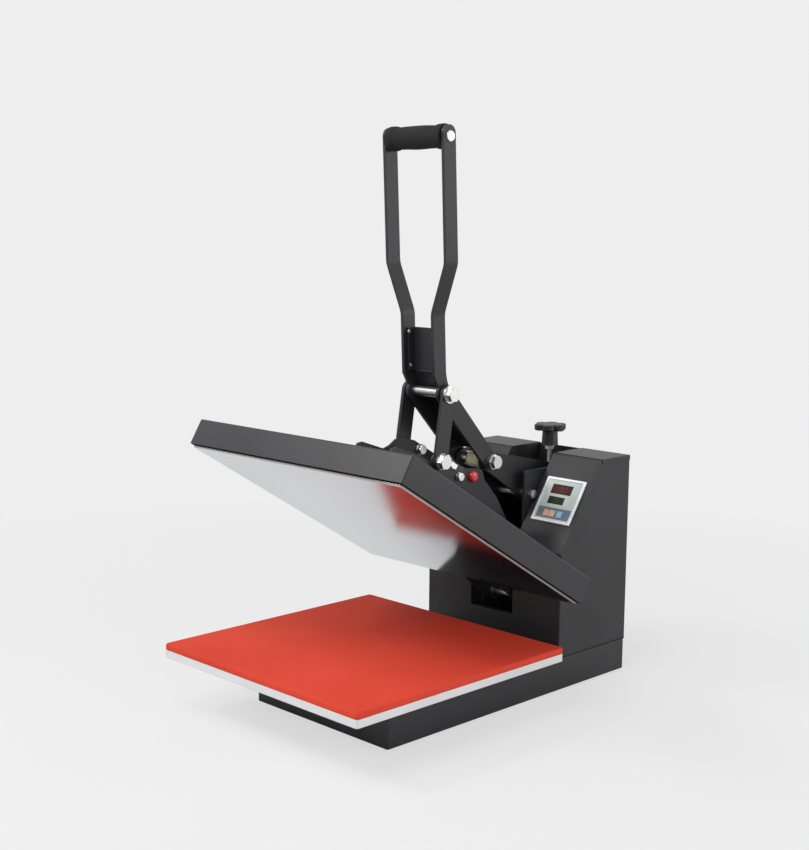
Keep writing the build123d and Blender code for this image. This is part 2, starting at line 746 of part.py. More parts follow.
# Handle bars: flat bar, straight at the knee, joggled outwards, straight to the grip
# Their centre line leans back a little towards the knee, so they lie in a tilted plane
lean = atan2(handle_lean_depth, handle_height)
bar_plane = Plane(
    origin=(0, knee[0] - bar_setback, knee[1]),
    x_dir=(1, 0, 0),
    z_dir=(0, -cos(lean), -sin(lean)),
)
bar_start = 4.0
bar_taper = [
    bar_plane.from_local_coords((0, height, ahead))
    for ahead, height in (
        (0, bar_start - 1.0), (bar_width / 2 + 1.0, bar_taper_height), (bar_width / 2 + 1.0, bar_start - 1.0)
    )
]
bar_middle = lever_inner_half + bar_thickness / 2
top_middle = grip_half_width - bar_thickness / 2
knee_eye = rear_arm_radius + 1.0
for side, sign in (("left", -1), ("right", 1)):
    with BuildPart() as handle_bar:
        with BuildSketch(bar_plane):
            with BuildLine():
                FilletPolyline(
                    (sign * bar_middle, bar_start),
                    (sign * bar_middle, bar_bend_low_height),
                    (sign * top_middle, bar_bend_high_height),
                    (sign * top_middle, handle_height),
                    radius=bar_bend_radius,
                )
            trace(line_width=bar_thickness)
        extrude(amount=bar_width / 2, both=True)
        fillet(handle_bar.edges().filter_by(Axis.X).sort_by(Axis.Z)[-2:], radius=bar_width / 2 - 0.2)
        with BuildSketch(across(knee, sign * (lever_inner_half - 1.0), sign)):
            Circle(knee_eye)
        extrude(amount=bar_thickness + 2.0, mode=Mode.SUBTRACT)
        with BuildSketch(Plane.YZ.offset(sign * (lever_inner_half - 1.0))):
            with BuildLine():
                Polyline(*[(corner.Y, corner.Z) for corner in bar_taper], close=True)
            make_face()
        extrude(amount=sign * (bar_thickness + 2.0), mode=Mode.SUBTRACT)
    handle_bar.part.label = f"{side}_handle_bar"
    export_step(handle_bar.part, f"parts/{side}_handle_bar.step")


# Handle webs: a channel between the bars, its sheet at their rear and its flanges to the
# front, and a bent sheet that carries on from it along the upper side of the rear arms
web_low_height = 28.5
web_high_height = 87.5
web_sheet = 3.0
web_flange = 15.0
web_half = lever_inner_half
web_bend_radius = 4.0
web_rear = bar_plane.offset(1.0 - bar_width / 2)
web_gap = 1.5
arm_along = ((knee[0] - toggle_pivot[0]) / rear_arm_length, (knee[1] - toggle_pivot[1]) / rear_arm_length)
arm_side = (arm_along[1], -arm_along[0])


def beside_arm(along, aside):
    """Side-view point beside the rear arm, counted from the toggle pivot."""
    return (
        toggle_pivot[0] + along * arm_along[0] + aside * arm_side[0],
        toggle_pivot[1] + along * arm_along[1] + aside * arm_side[1],
    )


def behind_bar(rise):
    """Side-view point under the handle web, counted forward from its rear face."""
    point = web_rear.from_local_coords((0, web_low_height - web_gap, rise))
    return (point.Y, point.Z)


arm_web_side = rear_arm_radius - 1.0
arm_web_profile = [
    beside_arm(26.0, arm_web_side),
    beside_arm(rear_arm_length - 2.0, arm_web_side),
    behind_bar(0.0),
    behind_bar(web_sheet),
    beside_arm(rear_arm_length - 3.0, arm_web_side - web_sheet),
    beside_arm(26.0, arm_web_side - web_sheet),
]
with BuildPart() as handle_web:
    for inset, rise in ((0.0, 0.0), (web_sheet, web_sheet)):
        with BuildSketch(web_rear.offset(rise)):
            with Locations((0, (web_low_height + web_high_height) / 2)):
                Rectangle(2 * (web_half - inset), web_high_height - web_low_height)
        extrude(amount=web_flange, mode=Mode.SUBTRACT if inset else Mode.ADD)
    bends = handle_web.edges().filter_by(Axis(bar_plane.origin, bar_plane.y_dir)).sort_by(Axis.Y)
    fillet(bends[-2:], radius=web_bend_radius)
    with BuildSketch(Plane.YZ.offset(-lever_inner_half)):
        with BuildLine():
            Polyline(*arm_web_profile, close=True)
        make_face()
    extrude(amount=2 * lever_inner_half)
handle_web.part.label = "handle_web"
export_step(handle_web.part, "parts/handle_web.step")

# Grip: steel tube between the bars, foam sleeve with flared ends, bolts from outside
grip_centre = bar_plane.from_local_coords((0, handle_height - grip_drop, 0))
grip_point = (grip_centre.Y, grip_centre.Z)
grip_tube_radius = 9.0
grip_half = grip_half_width - bar_thickness
with BuildPart() as grip_tube:
    with BuildSketch(across(grip_point, -grip_half, 1)):
        Circle(grip_tube_radius)
    extrude(amount=2 * grip_half)
grip_tube.part.label = "grip_tube"
export_step(grip_tube.part, "parts/grip_tube.step")

sleeve_half = grip_half - 1.0
sleeve_bore = grip_tube_radius + 0.1
sleeve_crown = 1.0
flare_width = 15.0
flare_slope = 5.0
flare_radius = grip_flare_diameter / 2
grip_radius = grip_diameter / 2
with BuildPart() as grip_sleeve:
    with BuildSketch(Plane(origin=(0, *grip_point), x_dir=(1, 0, 0), z_dir=(0, -1, 0))):
        with BuildLine():
            Polyline(
                (0, sleeve_bore),
                (sleeve_half, sleeve_bore),
                (sleeve_half, flare_radius - 1.5),
                (sleeve_half - 1.5, flare_radius),
                (sleeve_half - flare_width + flare_slope, flare_radius),
                (sleeve_half - flare_width, grip_radius),
            )
            ThreePointArc(
                (sleeve_half - flare_width, grip_radius),
                ((sleeve_half - flare_width) / 2, grip_radius + sleeve_crown * 0.75),
                (0, grip_radius + sleeve_crown),
            )
            Line((0, grip_radius + sleeve_crown), (0, sleeve_bore))
        make_face()
        mirror(about=Plane.YZ)
    revolve(axis=Axis((0, *grip_point), (1, 0, 0)))
grip_sleeve.part.label = "grip_sleeve"
export_step(grip_sleeve.part, "parts/grip_sleeve.step")

with BuildPart() as grip_bolts:
    for outward in (-1, 1):
        with BuildSketch(across(grip_point, outward * grip_half_width, outward)):
            Circle(7.5)
        extrude(amount=3.0)
    for end in (0, -1):
        chamfer(grip_bolts.faces().filter_by(Axis.X).group_by(Axis.X)[end].edges(), length=1.2)
grip_bolts.part.label = "grip_bolts"
export_step(grip_bolts.part, "parts/grip_bolts.step")


# Lift arm: two tapered side plates, stepped up behind the nose to take the link pins
arm_foot = cover_height + arm_base_thickness
hinge_eye = 19.0
bush_radius = hinge_shaft_diameter / 2 + bush_wall
arm_back_step = cover_depth + 5.0
tail_reach = 46.0
tail_eye = 9.0
tail_pin_radius = 4.0
tail_in_lid = (hinge_in_lid[0] + tail_reach, hinge_in_lid[1])
tail_spot = swing((hinge[0] + tail_reach, hinge[1]), hinge, -open_angle)
nose_front = toggle_pin_reach - 89.0
plate_nose = [
    (nose_front - 5.0, arm_foot),
    (nose_front, arm_foot + 40.0),
    (nose_front + 7.0, arm_foot + 45.0),
    (toggle_pin_reach - 41.0, arm_foot + 54.0),
]
plate_tail = [
    (hinge_in_lid[0] + 14.0, hinge_in_lid[1] + hinge_eye - 4.0),
    (hinge_in_lid[0], hinge_in_lid[1] - hinge_eye),
    (arm_back_step + 22.0, 4.0),
    (arm_back_step, 24.0),
    (arm_back_step, arm_foot),
]
pin_lug_radius = 13.0

# Upper edges of the side plates, as reach and rise from the link pin. The right one is cut
# low beside the links, so that a spanner reaches the bolts inside
plate_tops = {
    "left": [(-33.0, 0.0), (-27.0, 12.0), (-16.0, 20.0), (7.0, 26.5), (90.0, 29.0), (104.0, 24.0)],
    "right": [(-14.5, -8.0), (24.5, 2.0), (54.5, 8.0), (55.5, 14.0), (82.0, 26.5), (90.0, 26.0), (100.0, 17.0),
              (137.5, 6.5)],
}
for side, near_x in (("left", -arm_inner_half - arm_thickness), ("right", arm_inner_half)):
    plate_top = [(toggle_pin_reach + reach, toggle_pin_height + rise) for reach, rise in plate_tops[side]]
    with BuildPart() as arm_plate:
        with BuildSketch(lid_side_plane.offset(near_x)):
            with BuildLine():
                Polyline(*plate_nose, *plate_top, *plate_tail, close=True)
            make_face()
            with Locations(pin_in_lid):
                Circle(pin_lug_radius)
            with Locations(hinge_in_lid):
                Circle(hinge_eye)
            with BuildLine():
                Polyline(
                    (hinge_in_lid[0], hinge_in_lid[1] - hinge_eye + 1.0),
                    (tail_in_lid[0], tail_in_lid[1] - tail_eye),
                    (tail_in_lid[0], tail_in_lid[1] + tail_eye),
                    (hinge_in_lid[0], hinge_in_lid[1] + hinge_eye - 1.0),
                    close=True,
                )
            make_face()
            with Locations(tail_in_lid):
                Circle(tail_eye)
            with Locations(tail_in_lid):
                Circle(tail_pin_radius, mode=Mode.SUBTRACT)
            with Locations(hinge_in_lid):
                Circle(bush_radius, mode=Mode.SUBTRACT)
            with Locations(pin_in_lid):
                Circle(pin_radius + 0.5, mode=Mode.SUBTRACT)
        extrude(amount=arm_thickness)
    arm_plate.part.label = f"{side}_arm_plate"
    export_step(arm_plate.part, f"parts/{side}_arm_plate.step")


# Arm base: flat plate on the cover that both side plates stand on, with bolt holes
base_plate_front = nose_front - 16.0
base_plate_back = cover_depth - 12.0
cover_bolt_x = arm_base_width / 2 - 10.0
cover_bolt_radius = 5.0
cover_bolt_reaches = (base_plate_front + 16.0, base_plate_front + 142.0, base_plate_back - 16.0)
cover_bolt_points = [(x, d) for x in (-cover_bolt_x, cover_bolt_x) for d in cover_bolt_reaches]
with BuildPart() as arm_base:
    with BuildSketch(lid_plane.offset(cover_height)):
        with Locations((0, (base_plate_front + base_plate_back) / 2)):
            RectangleRounded(arm_base_width, base_plate_back - base_plate_front, 6.0)
        with Locations(*cover_bolt_points):
            Circle(cover_bolt_radius, mode=Mode.SUBTRACT)
    extrude(amount=arm_base_thickness)
arm_base.part.label = "arm_base"
export_step(arm_base.part, "parts/arm_base.step")

# Arm web: cross plate that ties the two side plates together in front of the hinge
web_reach = arm_back_step + 12.0
with BuildPart() as arm_web:
    with BuildSketch(lid_plane.offset(arm_foot - 12.0)):
        with Locations((0, web_reach)):
            Rectangle(2 * arm_inner_half, 6.0)
    extrude(amount=60.0)
    with BuildSketch(lid_plane.offset(arm_foot)):
        with Locations((0, nose_front + 14.0)):
            Rectangle(2 * arm_inner_half, 6.0)
    extrude(amount=34.0)
arm_web.part.label = "arm_web"
export_step(arm_web.part, "parts/arm_web.step")

# Hinge bushes: flanged, pressed in the arm plates and running on the hinge shaft
bush_flange = frame_half_spacing - arm_inner_half - arm_thickness - side_play
with BuildPart() as hinge_bushes:
    for outward in (-1, 1):
        with BuildSketch(across(hinge, outward * arm_inner_half, outward)):
            Circle(bush_radius)
            Circle(hinge_shaft_diameter / 2 + running_fit, mode=Mode.SUBTRACT)
        extrude(amount=arm_thickness)
        with BuildSketch(across(hinge, outward * (arm_inner_half + arm_thickness), outward)):
            Circle(bush_radius + 3.0)
            Circle(hinge_shaft_diameter / 2 + running_fit, mode=Mode.SUBTRACT)
        extrude(amount=bush_flange)
hinge_bushes.part.label = "hinge_bushes"
export_step(hinge_bushes.part, "parts/hinge_bushes.step")


# Upper cover: folded tray, open below, holding the board and the heating plate
with BuildPart() as upper_cover:
    with BuildSketch(lid_plane):
        with Locations((0, cover_depth / 2)):
            Rectangle(cover_width, cover_depth)
    extrude(amount=cover_height)
    lid_axis = Axis((0, *open_front), lid_up)
    fillet(upper_cover.edges().filter_by(lid_axis), radius=2.5)
    fillet(upper_cover.faces().sort_by(lid_axis)[-1].edges(), radius=2.5)
    offset(amount=-cover_sheet, openings=upper_cover.faces().sort_by(lid_axis)[0])
    with BuildSketch(lid_plane.offset(cover_height)):
        with Locations(*cover_bolt_points):
            Circle(cover_bolt_radius)
    extrude(amount=-2 * cover_sheet, mode=Mode.SUBTRACT)
upper_cover.part.label = "upper_cover"
export_step(upper_cover.part, "parts/upper_cover.step")

# Heating plate: cast aluminium with an eased rim and the heater's groove on its back
plate_middle = cover_depth / 2
plate_back_height = heating_plate_thickness - heating_plate_proud
plate_width = cover_width - 2 * (cover_sheet + heating_plate_gap)
plate_depth = cover_depth - 2 * (cover_sheet + heating_plate_gap)
heater_inset = 45.0
heater_tube = 8.0
heater_bend_radius = 39.0
groove_gap = 1.0


def square_loop(inset, band):
    """A loop of even width, set in from the heating plate's edge."""
    for side in (0, band):
        RectangleRounded(
            plate_width - 2 * (inset + side),
            plate_depth - 2 * (inset + side),
            heater_bend_radius - side,
            mode=Mode.SUBTRACT if side else Mode.ADD,
        )


with BuildPart() as heating_plate:
    with BuildSketch(lid_plane.offset(-heating_plate_proud)):
        with Locations((0, plate_middle)):
            RectangleRounded(plate_width, plate_depth, pad_corner_radius)
    extrude(amount=heating_plate_thickness)
    chamfer(heating_plate.faces().sort_by(lid_axis)[0].edges(), length=1.5)
    with BuildSketch(lid_plane.offset(plate_back_height)):
        with Locations((0, plate_middle)):
            square_loop(heater_inset - groove_gap, heater_tube + 2 * groove_gap)
    extrude(amount=-heating_groove_depth, mode=Mode.SUBTRACT)
heating_plate.part.label = "heating_plate"
export_step(heating_plate.part, "parts/heating_plate.step")

# Heater element: square loop of tube that fills the groove
with BuildPart() as heater_element:
    with BuildSketch(lid_plane.offset(plate_back_height - heating_groove_depth)):
        with Locations((0, plate_middle)):
            square_loop(heater_inset, heater_tube)
    extrude(amount=heating_groove_depth)
heater_element.part.label = "heater_element"
export_step(heater_element.part, "parts/heater_element.step")

# Insulation board: fills the space between the heating plate and the cover
board_gap = 0.5
board_top = cover_height - cover_sheet - board_gap
with BuildPart() as insulation_board:
    with BuildSketch(lid_plane.offset(plate_back_height)):
        with Locations((0, plate_middle)):
            RectangleRounded(plate_width, plate_depth, pad_corner_radius)
        with Locations(*cover_bolt_points):
            Circle(cover_bolt_radius + 1.0, mode=Mode.SUBTRACT)
    extrude(amount=board_top - plate_back_height)
insulation_board.part.label = "insulation_board"
export_step(insulation_board.part, "parts/insulation_board.step")

# Cover bolts: run through arm base, cover and board into the heating plate
with BuildPart() as cover_bolts:
    for bolt_x, bolt_reach in cover_bolt_points:
        spot = lid_plane.from_local_coords((bolt_x, bolt_reach, arm_foot))
        add(hex_bolt(Plane(origin=spot, x_dir=(1, 0, 0), z_dir=lid_up),
                     cover_bolt_radius, arm_foot - plate_back_height, 13.0, 6.0))
cover_bolts.part.label = "cover_bolts"
export_step(cover_bolts.part, "parts/cover_bolts.step")


# Red lamp on the outer face of the right arm plate
arm_outer = arm_inner_half + arm_thickness
lamp_radius = 8.0
lamp_height = 7.0
lamp_spot = lid_side_plane.from_local_coords((toggle_pin_reach + 73.4, toggle_pin_height + 9.9, 0))
with BuildPart() as indicator_lamp:
    with BuildSketch(across((lamp_spot.Y, lamp_spot.Z), arm_outer, 1)):
        Circle(lamp_radius)
    extrude(amount=lamp_height)
    fillet(indicator_lamp.faces().sort_by(Axis.X)[-1].edges(), radius=5.0)
indicator_lamp.part.label = "indicator_lamp"
export_step(indicator_lamp.part, "parts/indicator_lamp.step")


# Panel frame: a bright rim round the panel face
with BuildPart() as panel_frame:
    with BuildSketch(panel_plane):
        RectangleRounded(panel_side, panel_side, 2.0)
        RectangleRounded(face_side, face_side, 1.0, mode=Mode.SUBTRACT)
    extrude(amount=panel_frame_proud)
    panel_axis = Axis(panel_plane.origin, slope_out)
    chamfer(panel_frame.faces().sort_by(panel_axis)[-1].outer_wire().edges(), length=0.8)
panel_frame.part.label = "panel_frame"
export_step(panel_frame.part, "parts/panel_frame.step")

# Panel face with windows for the two displays and openings for the keys
face_thickness = 1.4
window_shares = ((-0.030, 0.275, 0.592, 0.242), (-0.072, -0.010, 0.456, 0.187))
windows = [tuple(share * face_side for share in window) for window in window_shares]
key_row_y = -0.344 * face_side
key_side = 0.154 * face_side
key_corner_radius = 2.0
key_gap = 0.3
key_shares = {"set_key": -0.197, "lower_key": -0.026, "raise_key": 0.182}
with BuildPart() as panel_face:
    with BuildSketch(panel_plane):
        RectangleRounded(face_side, face_side, 1.0)
        for x, y, width, height in windows:
            with Locations((x, y)):
                Rectangle(width, height, mode=Mode.SUBTRACT)
        with Locations(*[(share * face_side, key_row_y) for share in key_shares.values()]):
            RectangleRounded(
                key_side + 2 * key_gap, key_side + 2 * key_gap, key_corner_radius + key_gap, mode=Mode.SUBTRACT
            )
    extrude(amount=face_thickness)
panel_face.part.label = "panel_face"
export_step(panel_face.part, "parts/panel_face.step")

# Display windows, one behind each opening of the face
with BuildPart() as display_windows:
    with BuildSketch(panel_plane):
        for x, y, width, height in windows:
            with Locations((x, y)):
                Rectangle(width, height)
    extrude(amount=face_thickness - 0.4)
display_windows.part.label = "display_windows"
export_step(display_windows.part, "parts/display_windows.step")

# Keys, each a moulded cap that sinks by its travel
for name, share in key_shares.items():
    with BuildPart() as key:
        with BuildSketch(panel_plane.offset(key_travel + 0.2)):
            with Locations((share * face_side, key_row_y)):
                RectangleRounded(key_side, key_side, key_corner_radius)
        extrude(amount=1.3)
        fillet(key.faces().sort_by(panel_axis)[-1].edges(), radius=0.5)
    key.part.label = name
    export_step(key.part, f"parts/{name}.step")


# Controller body behind the panel, inside the right housing
controller_depth = 42.0
with BuildPart() as controller_body:
    with BuildSketch(panel_plane):
        Rectangle(controller_side, controller_side)
    extrude(amount=-controller_depth)
    chamfer(controller_body.faces().sort_by(panel_axis)[0].edges(), length=3.0)
controller_body.part.label = "controller_body"
export_step(controller_body.part, "parts/controller_body.step")

# Solid state relay on the base inside the left housing, with its four terminals
relay_width = 45.0
relay_depth = 60.0
relay_height = 24.0
relay_spot = (-housing_middle, rear_sheet_y - 54.0)
with BuildPart() as power_relay:
    with BuildSketch(Plane.XY.offset(base_top)):
        with Locations(relay_spot):
            RectangleRounded(relay_width, relay_depth, 3.0)
    extrude(amount=relay_height)
    with BuildSketch(Plane.XY.offset(base_top + relay_height)):
        with Locations(relay_spot):
            with GridLocations(relay_width - 21.0, relay_depth - 16.0, 2, 2):
                Circle(4.0)
    extrude(amount=4.0)
power_relay.part.label = "power_relay"
export_step(power_relay.part, "parts/power_relay.step")


# Mains inlet on the rear panel: flange, deep socket and its three flat pins
inlet_plane = Plane(origin=(inlet_x, base_back_y, fitting_z), x_dir=(-1, 0, 0), z_dir=(0, 1, 0))
socket_depth = 16.0
with BuildPart() as power_inlet:
    with BuildSketch(inlet_plane):
        RectangleRounded(48.0, 30.0, 3.0)
    extrude(amount=rear_proud)
    with BuildSketch(inlet_plane):
        Rectangle(inlet_size[0] - 0.4, inlet_size[1] - 0.4)
    extrude(amount=-socket_depth - 6.0)
    with BuildSketch(inlet_plane.offset(rear_proud)):
        with BuildLine():
            Polyline(
                (-12.0, -8.0),
                (12.0, -8.0),
                (12.0, 3.5),
                (7.5, 8.0),
                (-7.5, 8.0),
                (-12.0, 3.5),
                close=True,
            )
        make_face()
    extrude(amount=-socket_depth, mode=Mode.SUBTRACT)
    with BuildSketch(inlet_plane.offset(rear_proud - socket_depth)):
        with Locations((-7.0, -2.0), (7.0, -2.0), (0, 2.0)):
            Rectangle(2.0, 4.0)
    extrude(amount=11.0)
power_inlet.part.label = "power_inlet"
export_step(power_inlet.part, "parts/power_inlet.step")

# Power switch: bezel with a pocket, and the rocker that tilts in it
switch_plane = Plane(origin=(switch_x, base_back_y, fitting_z), x_dir=(-1, 0, 0), z_dir=(0, 1, 0))
switch_rocker_radius = 6.4
switch_rocker_width = 18.0
switch_gap = 0.4
bezel_proud = 1.8
with BuildPart() as switch_bezel:
    with BuildSketch(switch_plane):
        RectangleRounded(25.0, 19.0, 2.0)
    extrude(amount=bezel_proud)
    with BuildSketch(switch_plane):
        Rectangle(switch_size[0] - 0.4, switch_size[1] - 0.4)
    extrude(amount=-14.0)
    with BuildSketch(switch_plane.offset(bezel_proud)):
        Rectangle(switch_rocker_width + 2 * switch_gap, 2 * (switch_rocker_radius + switch_gap))
    extrude(amount=-bezel_proud - 3.0 - switch_rocker_radius - switch_gap, mode=Mode.SUBTRACT)
switch_bezel.part.label = "switch_bezel"
export_step(switch_bezel.part, "parts/switch_bezel.step")

# The switch rocker is drawn tilted to one side, with its two faces meeting in a shallow V
switch_tilt = 9.0
switch_pivot = (base_back_y - 3.0, fitting_z)
valley = (switch_pivot[0] + 3.6, fitting_z)
ridge_y = switch_pivot[0] + 5.9
ridge_z = 7.3
with BuildPart() as power_switch:
    with BuildSketch(Plane.YZ.offset(switch_x - switch_rocker_width / 2)):
        with Locations(switch_pivot):
            Circle(switch_rocker_radius)
        with BuildLine():
            Polyline(
                swing(valley, switch_pivot, -switch_tilt),
                swing((ridge_y, fitting_z + ridge_z), switch_pivot, -switch_tilt),
                (switch_pivot[0] + 20.0, fitting_z + ridge_z),
                (switch_pivot[0] + 20.0, fitting_z - ridge_z),
                swing((ridge_y, fitting_z - ridge_z), switch_pivot, -switch_tilt),
                close=True,
            )
        make_face(mode=Mode.SUBTRACT)
    extrude(amount=switch_rocker_width)
power_switch.part.label = "power_switch"
export_step(power_switch.part, "parts/power_switch.step")


# Lift springs: two coil springs behind the hinge that pull the arm open
spring_wire = 3.0
spring_coil = 9.0
spring_turns = 5
spring_x = 14.0
spring_foot = base_top + frame_thickness
spring_head = tail_spot[1] - tail_pin_radius
with BuildPart() as lift_springs:
    for sign in (-1, 1):
        with BuildLine():
            helix = Helix(
                pitch=(spring_head - spring_foot - spring_wire) / spring_turns,
                height=spring_head - spring_foot - spring_wire,
                radius=spring_coil,
                center=(sign * spring_x, tail_spot[0], spring_foot + spring_wire / 2),
            )
        with BuildSketch(Plane(origin=helix @ 0, z_dir=helix % 0)):
            RegularPolygon(spring_wire / 2, 5)
        sweep(path=helix)
lift_springs.part.label = "lift_springs"
export_step(lift_springs.part, "parts/lift_springs.step")

# Spring pin across the arm's two tails
with BuildPart() as spring_pin:
    with BuildSketch(across(tail_spot, -arm_outer, 1)):
        Circle(tail_pin_radius)
    extrude(amount=2 * arm_outer)
spring_pin.part.label = "spring_pin"
export_step(spring_pin.part, "parts/spring_pin.step")

# Figures for the joints, printed for the record
for name, point in (("hinge", hinge), ("toggle_pivot", toggle_pivot), ("knee", knee), ("pin", pin_open)):
    print(f"{name}: y {point[0]:.3f} z {point[1]:.3f}")
print(f"rocker_pivot: y {rocker_pivot[0]:.3f} z {rocker_pivot[1]:.3f}  screw_y {screw_y:.3f}")
print(f"handle turn {handle_turn:.4f}, link turn {link_turn:.4f}, lift {open_angle}")
print(f"front link length {front_link_length:.3f}")
print(f"arm outer {arm_outer:.3f}, lamp y {lamp_spot.Y:.3f} z {lamp_spot.Z:.3f}")
print(f"slope out y {slope_out[1]:.5f} z {slope_out[2]:.5f}")
print(f"switch y {switch_pivot[0]:.3f} z {switch_pivot[1]:.3f} x {switch_x:.3f}")
print(f"pad_y {pad_y:.3f} pad_top {pad_top:.3f} base_back {base_back_y:.3f} spring_foot {spring_foot:.3f}")
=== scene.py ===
import bpy
import bmesh
from math import cos, pi, radians, sin
from mathutils import Matrix, Vector


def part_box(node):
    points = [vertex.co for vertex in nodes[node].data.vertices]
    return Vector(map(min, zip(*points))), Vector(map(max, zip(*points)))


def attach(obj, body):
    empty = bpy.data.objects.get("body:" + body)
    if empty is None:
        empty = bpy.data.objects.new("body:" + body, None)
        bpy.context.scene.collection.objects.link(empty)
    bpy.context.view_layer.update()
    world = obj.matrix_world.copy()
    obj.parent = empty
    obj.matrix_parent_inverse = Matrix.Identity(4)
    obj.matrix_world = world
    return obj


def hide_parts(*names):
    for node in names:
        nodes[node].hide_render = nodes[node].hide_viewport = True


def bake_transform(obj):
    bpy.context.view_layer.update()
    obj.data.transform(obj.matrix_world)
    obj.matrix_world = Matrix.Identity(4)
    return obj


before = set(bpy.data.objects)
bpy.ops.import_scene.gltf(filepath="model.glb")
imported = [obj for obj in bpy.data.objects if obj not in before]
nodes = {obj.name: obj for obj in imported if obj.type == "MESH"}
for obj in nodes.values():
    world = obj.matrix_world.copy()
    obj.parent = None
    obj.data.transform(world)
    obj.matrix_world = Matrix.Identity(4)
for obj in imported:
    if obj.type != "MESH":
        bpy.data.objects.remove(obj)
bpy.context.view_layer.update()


# Base channel: one sheet of 2 mm steel folded into a long open box, with its corners
# closed and its lips turned in. It is powder coated black and carries everything else.
def blank(name):
    """Makes a new material and hands back it, its node tree and its surface shader."""
    material = bpy.data.materials.new(name)
    material.use_nodes = True
    tree = material.node_tree
    tree.nodes.clear()
    output = tree.nodes.new("ShaderNodeOutputMaterial")
    surface = tree.nodes.new("ShaderNodeBsdfPrincipled")
    tree.links.new(surface.outputs["BSDF"], output.inputs["Surface"])
    return material, tree, surface


def grain(tree, scale, detail=3.0, kind="noise", stretch=(1, 1, 1)):
    """A texture in the piece's own metres; the scale is in features per metre."""
    place = tree.nodes.new("ShaderNodeTexCoord")
    mapping = tree.nodes.new("ShaderNodeMapping")
    mapping.inputs["Scale"].default_value = stretch
    tree.links.new(place.outputs["Object"], mapping.inputs["Vector"])
    if kind == "noise":
        texture = tree.nodes.new("ShaderNodeTexNoise")
        texture.inputs["Detail"].default_value = detail
        value = texture.outputs["Fac"]
    else:
        texture = tree.nodes.new("ShaderNodeTexVoronoi")
        value = texture.outputs["Distance"]
    texture.inputs["Scale"].default_value = scale
    tree.links.new(mapping.outputs["Vector"], texture.inputs["Vector"])
    return value


def spread(tree, value, low, high, start=0.3, end=0.7):
    """Maps a texture value from start and end to a range from low to high."""
    ramp = tree.nodes.new("ShaderNodeMapRange")
    ramp.inputs["From Min"].default_value = start
    ramp.inputs["From Max"].default_value = end
    ramp.inputs["To Min"].default_value = low
    ramp.inputs["To Max"].default_value = high
    tree.links.new(value, ramp.inputs["Value"])
    return ramp.outputs["Result"]


def tint(tree, value, dark, light, socket, start=0.3, end=0.7):
    """Colours a socket between two shades by a texture value."""
    mix = tree.nodes.new("ShaderNodeMix")
    mix.data_type = "RGBA"
    mix.inputs["A"].default_value = (*dark, 1)
    mix.inputs["B"].default_value = (*light, 1)
    tree.links.new(spread(tree, value, 0.0, 1.0, start, end), mix.inputs["Factor"])
    tree.links.new(mix.outputs["Result"], socket)


def times(shade, factor):
    """A shade made darker or lighter."""
    return [min(1.0, part * factor) for part in shade]


def roughen(tree, surface, value, low, high, start=0.3, end=0.7):
    """Lets a texture value set the roughness between two limits."""
    tree.links.new(spread(tree, value, low, high, start, end), surface.inputs["Roughness"])


def relief(tree, surface, layers):
    """Stacks bumps on a shader: each layer is a value, a depth in metres and a strength."""
    below = None
    for value, depth, strength in layers:
        bump = tree.nodes.new("ShaderNodeBump")
        bump.inputs["Distance"].default_value = depth
        bump.inputs["Strength"].default_value = strength
        tree.links.new(value, bump.inputs["Height"])
        if below is not None:
            tree.links.new(below, bump.inputs["Normal"])
        below = bump.outputs["Normal"]
    tree.links.new(below, surface.inputs["Normal"])


def powder_coat(name, shade, roughness):
    """Fine-textured powder coat: a pebbled skin with cloudy gloss and dust in its pits."""
    material, tree, surface = blank(name)
    pebbles = grain(tree, 950.0, 2.0)
    clouds = grain(tree, 9.0, 4.0)
    specks = grain(tree, 2600.0, 1.0)
    tint(tree, clouds, times(shade, 0.86), times(shade, 1.16), surface.inputs["Base Color"])
    roughen(tree, surface, pebbles, roughness - 0.06, roughness + 0.10)
    surface.inputs["IOR"].default_value = 1.5
    surface.inputs["Specular IOR Level"].default_value = 0.34
    relief(tree, surface, [(pebbles, 0.00010, 0.5), (specks, 0.00004, 0.35)])
    return material


black_coat = powder_coat("black powder coat", (0.0245, 0.0245, 0.0270), 0.42)

# Steps that weld the facets of a carried-over node and shade them smoothly.
joined = bpy.data.node_groups.new("joined facets", "GeometryNodeTree")
joined.interface.new_socket("Geometry", in_out="INPUT", socket_type="NodeSocketGeometry")
joined.interface.new_socket("Geometry", in_out="OUTPUT", socket_type="NodeSocketGeometry")
joined_in = joined.nodes.new("NodeGroupInput")
joined_weld = joined.nodes.new("GeometryNodeMergeByDistance")
joined_weld.inputs["Distance"].default_value = 0.000002
joined_drop = joined.nodes.new("GeometryNodeRemoveAttribute")
joined_drop.inputs["Name"].default_value = "custom_normal"
joined_smooth = joined.nodes.new("GeometryNodeSetShadeSmooth")
joined_out = joined.nodes.new("NodeGroupOutput")
for upper, lower in ((joined_in, joined_drop), (joined_drop, joined_weld),
                     (joined_weld, joined_smooth), (joined_smooth, joined_out)):
    joined.links.new(upper.outputs[0], lower.inputs["Geometry"])

flat_angle = radians(0.6)
sharp_angle = radians(32)


def dress(name, material, edge=0.0004, rounds=2):
    """Gives a carried-over node its finish and breaks its sharp edges by a small round."""
    piece = nodes[name]
    piece.data.materials.clear()
    piece.data.materials.append(material)
    if edge > 0:
        weld = piece.modifiers.new("join", "NODES")
        weld.node_group = joined
        flats = piece.modifiers.new("whole flats", "DECIMATE")
        flats.decimate_type = "DISSOLVE"
        flats.angle_limit = flat_angle
        round_off = piece.modifiers.new("broken edges", "BEVEL")
        round_off.width = edge
        round_off.segments = rounds
        round_off.limit_method = "ANGLE"
        round_off.angle_limit = sharp_angle
        round_off.harden_normals = True


sheet_edge = 0.0003
dress("base_channel", black_coat, sheet_edge)


